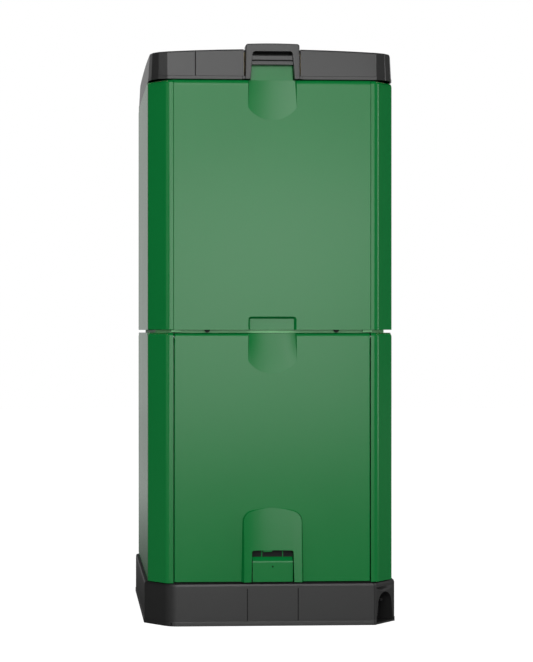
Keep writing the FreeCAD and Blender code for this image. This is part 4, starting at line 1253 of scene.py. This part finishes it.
def wear_and_highlight_group():
    """Mask of outer edges for scuffs and painted highlight, broken up by a noise."""
    name = "Edge wear"
    if name in bpy.data.node_groups:
        return bpy.data.node_groups[name]
    group, start, end = new_group(
        name, {"Width": (0.0012, 0.0, 0.05), "Amount": (0.5, 0.0, 2.0), "Break up": (160.0, 1.0, 2000.0)},
        {"Mask": "NodeSocketFloat"})
    round_normal = add_node(group, "ShaderNodeBevel", [("Radius", start.outputs["Width"])], samples=4)
    normal = add_node(group, "ShaderNodeNewGeometry").outputs["Normal"]
    dot = add_node(
        group, "ShaderNodeVectorMath", [(0, round_normal.outputs["Normal"]), (1, normal)],
        operation="DOT_PRODUCT")
    turned = math_node(group, "SUBTRACT", 1.0, dot.outputs["Value"])
    edge = math_node(group, "MULTIPLY", turned, WEAR_AND_HIGHLIGHT_GAIN, clamp=True)
    noise = add_node(
        group, "ShaderNodeTexNoise", [("Vector", place_of(group)), ("Scale", start.outputs["Break up"])])
    broken = math_node(group, "MULTIPLY", edge, noise.outputs["Fac"])
    mask = math_node(group, "MULTIPLY", broken, start.outputs["Amount"], clamp=True)
    group.links.new(mask, end.inputs["Mask"])
    return group


def cell_group():
    """Small closed cells of rigid foam."""
    name = "Foam cells"
    if name in bpy.data.node_groups:
        return bpy.data.node_groups[name]
    group, start, end = new_group(
        name, {"Cell size": (420.0, 1.0, 5000.0)}, {"Height": "NodeSocketFloat", "Shade": "NodeSocketFloat"})
    place = place_of(group)
    cells = add_node(
        group, "ShaderNodeTexVoronoi", [("Vector", place), ("Scale", start.outputs["Cell size"])])
    tint = add_node(group, "ShaderNodeTexNoise", [("Vector", place), ("Scale", 30.0), ("Detail", 4.0)])
    group.links.new(cells.outputs["Distance"], end.inputs["Height"])
    group.links.new(tint.outputs["Fac"], end.inputs["Shade"])
    return group


def brush_group():
    """Fine lines of drawn steel along X."""
    name = "Drawn lines"
    if name in bpy.data.node_groups:
        return bpy.data.node_groups[name]
    group, start, end = new_group(
        name, {"Line size": (2400.0, 1.0, 9000.0)},
        {"Height": "NodeSocketFloat", "Roughness": "NodeSocketFloat"})
    stretch = add_node(
        group, "ShaderNodeMapping", [("Vector", place_of(group)), ("Scale", (0.05, 1.0, 1.0))])
    lines = add_node(
        group, "ShaderNodeTexNoise",
        [("Vector", stretch.outputs["Vector"]), ("Scale", start.outputs["Line size"]), ("Detail", 2.0)])
    spread = math_node(group, "MULTIPLY_ADD", lines.outputs["Fac"], LINE_GLOSS["change"], LINE_GLOSS["least"])
    group.links.new(lines.outputs["Fac"], end.inputs["Height"])
    group.links.new(spread, end.inputs["Roughness"])
    return group


def new_material(name):
    """Material with an empty tree, its shader and the shader's link to the output."""
    material = bpy.data.materials.new(name)
    material.use_nodes = True
    tree = material.node_tree
    tree.nodes.clear()
    shader = add_node(tree, "ShaderNodeBsdfPrincipled")
    add_node(tree, "ShaderNodeOutputMaterial", [("Surface", shader.outputs["BSDF"])])
    return material, tree, shader


def shade(colour, factor):
    """Lighter or darker copy of a colour."""
    return tuple(min(1.0, channel * factor) for channel in colour[:3]) + (1.0,)


def mix_colour(tree, factor, first, second):
    """Colour between two others."""
    node = add_node(tree, "ShaderNodeMix", [(0, factor), (6, first), (7, second)], data_type="RGBA")
    return node.outputs[2]


def set_bump(tree, shader, height, strength, distance):
    """Relief from a height."""
    bump = add_node(
        tree, "ShaderNodeBump", [("Height", height), ("Strength", strength), ("Distance", distance)])
    tree.links.new(bump.outputs["Normal"], shader.inputs["Normal"])


def plastic(name, colour, gloss, grain=900.0, relief=0.0, tone=0.04, wear_and_highlight=0.35, worn_and_highlight_tone=1.35, shine=0.5):
    """Moulded plastic with fine grain, slow changes of tone and lighter edges, partly scuffs and partly
    painted highlight.
    """
    material, tree, shader = new_material(name)
    moulded = add_node(tree, "ShaderNodeGroup", node_tree=grain_group())
    moulded.inputs["Grain size"].default_value = grain
    moulded.inputs["Gloss"].default_value = gloss
    edges = add_node(tree, "ShaderNodeGroup", node_tree=wear_and_highlight_group())
    edges.inputs["Amount"].default_value = wear_and_highlight
    base = mix_colour(tree, moulded.outputs["Tone"], shade(colour, 1 - tone), shade(colour, 1 + tone))
    # Edges lightened: partly scuffs, partly painted highlight.
    tint = mix_colour(tree, edges.outputs["Mask"], base, shade(colour, worn_and_highlight_tone))
    tree.links.new(tint, shader.inputs["Base Color"])
    tree.links.new(moulded.outputs["Roughness"], shader.inputs["Roughness"])
    shader.inputs["Specular IOR Level"].default_value = shine
    set_bump(tree, shader, moulded.outputs["Height"], strength=relief, distance=0.0004)
    return material


def foam_finish(name, colour):
    """Rigid insulating foam with small closed cells."""
    material, tree, shader = new_material(name)
    cells = add_node(tree, "ShaderNodeGroup", node_tree=cell_group())
    base = mix_colour(tree, cells.outputs["Shade"], shade(colour, 0.85), shade(colour, 1.08))
    tree.links.new(base, shader.inputs["Base Color"])
    shader.inputs["Roughness"].default_value = 0.9
    set_bump(tree, shader, cells.outputs["Height"], strength=0.6, distance=0.0012)
    return material


def steel_finish(name, colour):
    """Drawn steel wire."""
    material, tree, shader = new_material(name)
    lines = add_node(tree, "ShaderNodeGroup", node_tree=brush_group())
    mottle = add_node(tree, "ShaderNodeGroup", node_tree=grain_group())
    mottle.inputs["Mottle size"].default_value = 60.0
    base = mix_colour(tree, mottle.outputs["Tone"], shade(colour, 0.85), shade(colour, 1.1))
    tree.links.new(base, shader.inputs["Base Color"])
    tree.links.new(lines.outputs["Roughness"], shader.inputs["Roughness"])
    shader.inputs["Metallic"].default_value = 1.0
    set_bump(tree, shader, lines.outputs["Height"], strength=0.15, distance=0.0002)
    return material


def finish(slot):
    """Material of one of the record's slots."""
    label = slot.replace("_", " ").capitalize()
    if label in bpy.data.materials:
        return bpy.data.materials[label]
    colours = bpy.context.scene.bin_colours
    if slot == "foam":
        return foam_finish(label, colours.foam)
    if slot == "steel":
        return steel_finish(label, colours.steel)
    # The edge amounts below lighten edges as scuffs and as painted highlight.
    recipes = {
        "green_plastic": (colours.green, 0.25, {}),
        "grey_plastic": (colours.lid, 0.33, {"wear_and_highlight": 0.5, "shine": 0.66}),
        "charcoal_plastic": (colours.base, 0.45, {"wear_and_highlight": 0.6, "shine": 1.0}),
        "ring_plastic": (colours.ring, 0.5, {}),
        "liner_plastic": (colours.liner, 0.6, {"grain": 600.0, "relief": 0.2, "tone": 0.2, "shine": 0.15}),
        "tap_plastic": (colours.tap, 0.25, {"relief": 0.04}),
        "rubber": (colours.rubber, 0.75, {"grain": 1500.0, "relief": 0.3, "wear_and_highlight": 0.1}),
    }
    colour, gloss, more = recipes[slot]
    return plastic(label, colour, gloss, **more)


# Settings

def length(label, note, default):
    """Length setting in metres."""
    return FloatProperty(name=label, description=note, default=default, min=0.0, unit="LENGTH", precision=4)


def tint(label, note, default):
    """Colour setting."""
    return FloatVectorProperty(
        name=label, description=note, default=default, min=0.0, max=1.0, size=3, subtype="COLOR")


class BinSizes(bpy.types.PropertyGroup):
    """Sizes of the moulded edges."""

    corner_edge: length("Corner edge", "Radius of the upright corner edges beside front and rear", 0.016)
    side_edge: length("Side edge", "Radius of the upright corner edges beside the sides", 0.009)
    wall_edge: length("Wall edge", "Radius of the upper edges of posts and plain panels", 0.008)
    tier_edge_height: length("Front edge height", "Height of the upper front panel's round top edge", 0.0115)
    tier_edge_depth: length("Front edge depth", "Depth of the upper front panel's round top edge", 0.0055)
    upper_gap: length("Upper gap", "Gap between the upper front panel and the posts", 0.0003)
    gap_edge: length("Gap edge", "Radius of the edges beside the gaps", 0.0012)
    door_edge: length("Door edge", "Radius of the door's side edges", 0.002)
    lid_edge: length("Lid edge", "Radius of the lid's upper edge", 0.0035)
    lid_dome: length("Lid dome", "Radius of the lid's domed top", 3.9)


class BinColours(bpy.types.PropertyGroup):
    """Colours of the finishes."""

    green: tint("Walls", "Green of the walls, the posts and the door", (0.0015, 0.147, 0.029))
    lid: tint("Lid", "Grey of the lid, its housing and its lever", (0.022, 0.022, 0.022))
    base: tint("Base", "Charcoal of the base", (0.011, 0.011, 0.011))
    # Painted light: the ring's green is a lighter copy of the wall green, lifted to make up for the shade in
    # the recessed gap between the tiers.
    ring: tint("Ring", "Pale green of the ring between the tiers", (0.18, 0.50, 0.22))
    # The liner's black is also painted as shade onto slots, grooves, recesses and gaps of other pieces.
    liner: tint("Liners", "Black of the liners, the core, the grate and the tank", (0.012, 0.012, 0.012))
    tap: tint("Tap", "Black of the drain tap", (0.008, 0.008, 0.008))
    rubber: tint("Seals", "Black of the seals", (0.010, 0.010, 0.010))
    steel: tint("Pins", "Steel of the pins and screws", (0.52, 0.52, 0.54))
    foam: tint("Foam", "Pale yellow of the insulating foam", (0.70, 0.60, 0.36))


# Operators

class BIN_OT_upper_panel(bpy.types.Operator):
    """Make the upper front panel with its scoop, notch and keeper tab"""

    bl_idname = "compost_bin.upper_panel"
    bl_label = "Upper front panel"

    def execute(self, context):
        mesh = make_upper_panel(context.scene.bin_sizes)
        add_piece("upper_front_wall", mesh, "bin", "green_plastic", ["upper_panel_front"])
        return {"FINISHED"}


class BIN_OT_door(bpy.types.Operator):
    """Make the lower front door with its scoop and pad"""

    bl_idname = "compost_bin.door"
    bl_label = "Door"

    def execute(self, context):
        mesh = make_door(context.scene.bin_sizes)
        door = add_piece("front_door", mesh, "door", "green_plastic", ["door_shell"])
        # Painted shade: the back of the pad's cut-out behind the tongue gets the liner's black.
        paint_shade(door, front_at(CUTOUT_BACK))
        return {"FINISHED"}


class BIN_OT_door_latch(bpy.types.Operator):
    """Make the sliding tongue in the door's pad"""

    bl_idname = "compost_bin.door_latch"
    bl_label = "Door latch"

    def execute(self, context):
        slope = TONGUE["slope"]
        mesh = softened(
            "door_latch", (latch_front(LATCH_HIGH.z), slope, 1),
            (latch_front(LATCH_HIGH.z - slope), TONGUE["edge"], 4), (latch_side, TONGUE["side_edge"], 2))
        widen(mesh, LATCH_HIGH.x - TONGUE["side"], TONGUE["wider"])
        add_piece("door_tongue", mesh, "door_latch", "green_plastic", ["door_latch"])
        return {"FINISHED"}


class BIN_OT_walls(bpy.types.Operator):
    """Make the corner posts and the plain side and rear panels"""

    bl_idname = "compost_bin.walls"
    bl_label = "Posts and side panels"

    def execute(self, context):
        sizes = context.scene.bin_sizes
        corners = ("front_right", "rear_right", "rear_left", "front_left")
        for tier in ("lower", "upper"):
            for corner in corners:
                node = f"{tier}_post_{corner}"
                add_piece(f"{tier}_corner_{corner}", bin_wall(node, sizes), "bin", "green_plastic", [node])
            for side in ("right", "rear", "left"):
                node = f"{tier}_panel_{side}"
                add_piece(f"{tier}_{side}_wall", bin_wall(node, sizes), "bin", "green_plastic", [node])
        return {"FINISHED"}


class BIN_OT_ring(bpy.types.Operator):
    """Make the neck ring between the tiers with its lugs"""

    bl_idname = "compost_bin.ring"
    bl_label = "Neck ring"

    def execute(self, context):
        mesh = softened("tier_ring", (outer_rim(1), RING["edge"], 4), (any_crisp, RING["small_edge"], 2))
        ring = add_piece("neck_ring", mesh, "bin", "ring_plastic", ["tier_ring"])
        # Painted shade: the ring's lugs and the sides of its ears get the liner's black.
        paint_shade(ring, ring_shadow)
        return {"FINISHED"}


class BIN_OT_lid(bpy.types.Operator):
    """Make the lid, its latch housing and the lever"""

    bl_idname = "compost_bin.lid"
    bl_label = "Lid"

    def execute(self, context):
        sizes = context.scene.bin_sizes
        add_piece("lid_dome", make_lid(sizes), "lid", "grey_plastic", ["lid_shell"])
        housing = add_piece("lid_lever_frame", make_housing(), "lid", "grey_plastic", ["lid_latch_housing"])
        # Painted shade: the back of the housing's recess behind the lever gets the liner's black.
        paint_shade(housing, front_at(HOUSING_HIGH.y - HOUSING["wall"]))
        lever = add_piece("lid_lever", make_lever(), "lid_latch", "grey_plastic", ["lid_latch"])
        # Painted shade: the bed of the lever's groove gets the liner's black.
        paint_shade(lever, front_at(GROOVE_BED))
        add_piece("lid_filling", make_lid_foam(sizes), "lid", "foam", ["lid_foam"])
        return {"FINISHED"}


class BIN_OT_base(bpy.types.Operator):
    """Make the base with its deck, its foot band and the tap"""

    bl_idname = "compost_bin.base"
    bl_label = "Base"

    def execute(self, context):
        skirt = softened(
            "base_tray", (base_corner, BASE_ROUND, BASE_ROUND_STEPS),
            (outer_corner, BASE_EDGE, BASE_EDGE_STEPS))
        skirt = joined(sink_facet(skirt), make_base_lip())
        base = add_piece("base_skirt", skirt, "bin", "charcoal_plastic", ["base_tray"])
        groove = front_at(BASE_GROOVE, NEAR)
        # Painted shade: the bed of the recess in the left facet and the grooves in the front get the liner's
        # black.
        paint_shade(base, lambda face: recess_bed(face) or groove(face))
        deck = add_piece("base_top", make_deck(), "bin", "charcoal_plastic", ["base_deck"], DECK_SHARP_ANGLE)
        # Painted shade: the deck's raised ledge under the door gets the liner's black, standing in for the
        # shadow gap below the door.
        paint_shade(deck, lambda face: face.center.z / MM > LEDGE["raised"] - NEAR)
        for node, body, name in (
                ("tap_body", "bin", "drain_tap"), ("tap_lever", "tap_lever", "drain_tap_lever"),
                ("tap_nut", "bin", "drain_tap_nut")):
            add_piece(name, softened(node, (any_crisp, TAP_EDGE, 2)), body, "tap_plastic", [node])
        return {"FINISHED"}


class BIN_OT_inside(bpy.types.Operator):
    """Give the inner pieces that keep their plain shape a finish"""

    bl_idname = "compost_bin.inside"
    bl_label = "Inner pieces"

    def execute(self, context):
        slots = {row["node"]: row["material_slot"] for row in frame["record"]["subparts"]}
        for node, item in frame["nodes"].items():
            material = finish(slots[node])
            item.data.materials.clear()
            item.data.materials.append(material)
        return {"FINISHED"}


# Studio

CAMERA_PLACE = (-0.421, -3.6035, 0.6015)
CAMERA_TURN = math.radians(2.5)
LENS = 89.52
LENS_SHIFT = 0.1938
SOFT_LIGHT = 0.42
FLOOR = {"half": 9.0, "level": -0.0004, "tone": 0.3, "in_gloss": -0.18, "glow": 0.9}
WHITE = (1, 1, 1, 1)

# Lights: name, place, target, width and height, power, and whether gloss shows them

LIGHTS = (
    ("Front panel light", (0.17, -4.3, 0.77), (0.17, 0.0, 0.77), (2.15, 1.35), 24.0, True),
    ("Front upper light", (1.1, -4.3, 1.1), (0.45, 0.0, 1.1), (2.0, 0.7), 4.6, True),
    ("Upper panel light", (0.175, -4.3, 2.12), (0.175, 0.0, 2.12), (3.55, 0.58), 19.3, True),
    ("Upper left light", (-0.5, -4.3, 2.86), (-0.5, 0.0, 2.86), (2.4, 0.9), 21.0, True),
    ("Middle left light", (-0.95, -4.3, 1.64), (-0.95, 0.0, 1.64), (1.3, 0.36), 3.8, True),
    ("Low left light", (-1.0, -4.3, 0.28), (-1.0, 0.0, 0.28), (1.0, 0.5), 7.5, True),
    ("Left panel light", (-2.9, -2.8, 0.9), (-0.2, -0.2, 0.6), (0.6, 1.9), 4.0, True),
    ("Front fill", (-1.0, -4.6, 2.4), (0.0, 0.0, 0.6), (2.6, 2.2), 92.0, False),
    ("Right strip", (3.17, -0.86, 1.0), (0.25, -0.25, 0.6), (0.5, 2.4), 20.0, True),
    ("Left rear fill", (-2.6, 2.4, 1.6), (0.0, 0.0, 0.6), (2.0, 2.0), 16.0, False),
    ("Right rear fill", (2.6, 2.4, 1.6), (0.0, 0.0, 0.6), (2.0, 2.0), 22.0, False),
)


def area_light(name, place, target, size, power, glossy):
    """Soft rectangular light aimed at a target."""
    data = bpy.data.lights.new(name, "AREA")
    data.shape = "RECTANGLE"
    data.size, data.size_y = size
    data.energy = power
    item = bpy.data.objects.new(name, data)
    bpy.context.scene.collection.objects.link(item)
    item.location = place
    aim = Vector(target) - Vector(place)
    item.rotation_euler = aim.to_track_quat("-Z", "Y").to_euler()
    item.visible_glossy = glossy
    item.visible_camera = False


def set_world():
    """White for the camera, white behind the object for gloss, and an even soft light."""
    world = bpy.data.worlds.new("Studio")
    world.use_nodes = True
    tree = world.node_tree
    tree.nodes.clear()
    ray = add_node(tree, "ShaderNodeLightPath")
    way = add_node(tree, "ShaderNodeTexCoord").outputs["Generated"]
    depth = add_node(tree, "ShaderNodeSeparateXYZ", [(0, way)]).outputs["Y"]
    behind = add_node(
        tree, "ShaderNodeMapRange",
        [("Value", depth), ("From Min", 0.6), ("From Max", 0.92), ("To Max", 0.62)])
    glossy = math_node(tree, "MULTIPLY", behind.outputs[0], ray.outputs["Is Glossy Ray"])
    soft = math_node(tree, "MULTIPLY", ray.outputs["Is Diffuse Ray"], SOFT_LIGHT)
    seen = math_node(tree, "MAXIMUM", ray.outputs["Is Camera Ray"], ray.outputs["Is Transmission Ray"])
    some = math_node(tree, "ADD", glossy, soft)
    level = math_node(tree, "ADD", seen, some)
    sky = add_node(tree, "ShaderNodeBackground", [("Color", WHITE), ("Strength", level)])
    add_node(tree, "ShaderNodeOutputWorld", [("Surface", sky.outputs[0])])
    bpy.context.scene.world = world


def set_floor():
    """Pale floor that shows white to the camera outside the shadow."""
    mesh = bmesh.new()
    bmesh.ops.create_grid(mesh, x_segments=8, y_segments=8, size=FLOOR["half"])
    data = bpy.data.meshes.new("studio_floor")
    mesh.to_mesh(data)
    mesh.free()
    floor = bpy.data.objects.new("studio_floor", data)
    bpy.context.scene.collection.objects.link(floor)
    floor.location.z = FLOOR["level"]
    material = bpy.data.materials.new("Pale floor")
    material.use_nodes = True
    tree = material.node_tree
    tree.nodes.clear()
    ray = add_node(tree, "ShaderNodeLightPath")
    place = add_node(tree, "ShaderNodeNewGeometry").outputs["Position"]
    depth = add_node(tree, "ShaderNodeSeparateXYZ", [(0, place)]).outputs["Y"]
    far = add_node(
        tree, "ShaderNodeMapRange", [("Value", depth), ("From Min", 0.3), ("From Max", 2.5), ("To Max", 0.5)])
    behind = math_node(tree, "MULTIPLY", far.outputs[0], ray.outputs["Is Glossy Ray"])
    dim = math_node(tree, "MULTIPLY_ADD", ray.outputs["Is Glossy Ray"], FLOOR["in_gloss"], FLOOR["tone"])
    tone = add_node(tree, "ShaderNodeCombineColor", [("Red", dim), ("Green", dim), ("Blue", dim)])
    matt = add_node(tree, "ShaderNodeBsdfDiffuse", [("Color", tone.outputs[0])])
    lift = math_node(tree, "MULTIPLY_ADD", ray.outputs["Is Camera Ray"], FLOOR["glow"], behind)
    glow = add_node(tree, "ShaderNodeEmission", [("Color", WHITE), ("Strength", lift)])
    both = add_node(tree, "ShaderNodeAddShader", [(0, matt.outputs[0]), (1, glow.outputs[0])])
    add_node(tree, "ShaderNodeOutputMaterial", [("Surface", both.outputs[0])])
    floor.data.materials.append(material)


class BIN_OT_studio(bpy.types.Operator):
    """Make the floor, the lights and the camera"""

    bl_idname = "compost_bin.studio"
    bl_label = "Studio"

    def execute(self, context):
        set_world()
        set_floor()
        for light in LIGHTS:
            area_light(*light)
        camera = bpy.data.objects.new("Camera", bpy.data.cameras.new("Camera"))
        context.scene.collection.objects.link(camera)
        camera.location = CAMERA_PLACE
        camera.rotation_euler = (math.pi / 2, 0.0, -CAMERA_TURN)
        camera.data.lens = LENS
        camera.data.shift_x = LENS_SHIFT
        context.scene.camera = camera
        context.scene.view_settings.view_transform = "Standard"
        return {"FINISHED"}


MAKERS = (
    BIN_OT_inside, BIN_OT_upper_panel, BIN_OT_door, BIN_OT_door_latch, BIN_OT_walls, BIN_OT_ring, BIN_OT_lid,
    BIN_OT_base, BIN_OT_studio)


class BIN_PT_maker(bpy.types.Panel):
    """Settings of the compost bin and a button for each group of pieces"""

    bl_idname = "BIN_PT_maker"
    bl_label = "Compost bin"
    bl_space_type = "VIEW_3D"
    bl_region_type = "UI"
    bl_category = "Compost bin"

    def draw(self, context):
        column = self.layout.column()
        for settings in (context.scene.bin_sizes, context.scene.bin_colours):
            for name in settings.__annotations__:
                column.prop(settings, name)
        for maker in MAKERS:
            column.operator(maker.bl_idname)


CLASSES = (BinSizes, BinColours) + MAKERS + (BIN_PT_maker,)


def register():
    for item in CLASSES:
        bpy.utils.register_class(item)
    bpy.types.Scene.bin_sizes = PointerProperty(type=BinSizes)
    bpy.types.Scene.bin_colours = PointerProperty(type=BinColours)


def unregister():
    del bpy.types.Scene.bin_colours
    del bpy.types.Scene.bin_sizes
    for item in reversed(CLASSES):
        bpy.utils.unregister_class(item)


def main():
    """Make every piece and the studio."""
    register()
    makers = bpy.ops.compost_bin
    makers.inside()
    makers.upper_panel()
    makers.door()
    makers.door_latch()
    makers.walls()
    makers.ring()
    makers.lid()
    makers.base()
    makers.studio()
    bpy.context.view_layer.update()


if __name__ == "__main__":
    main()
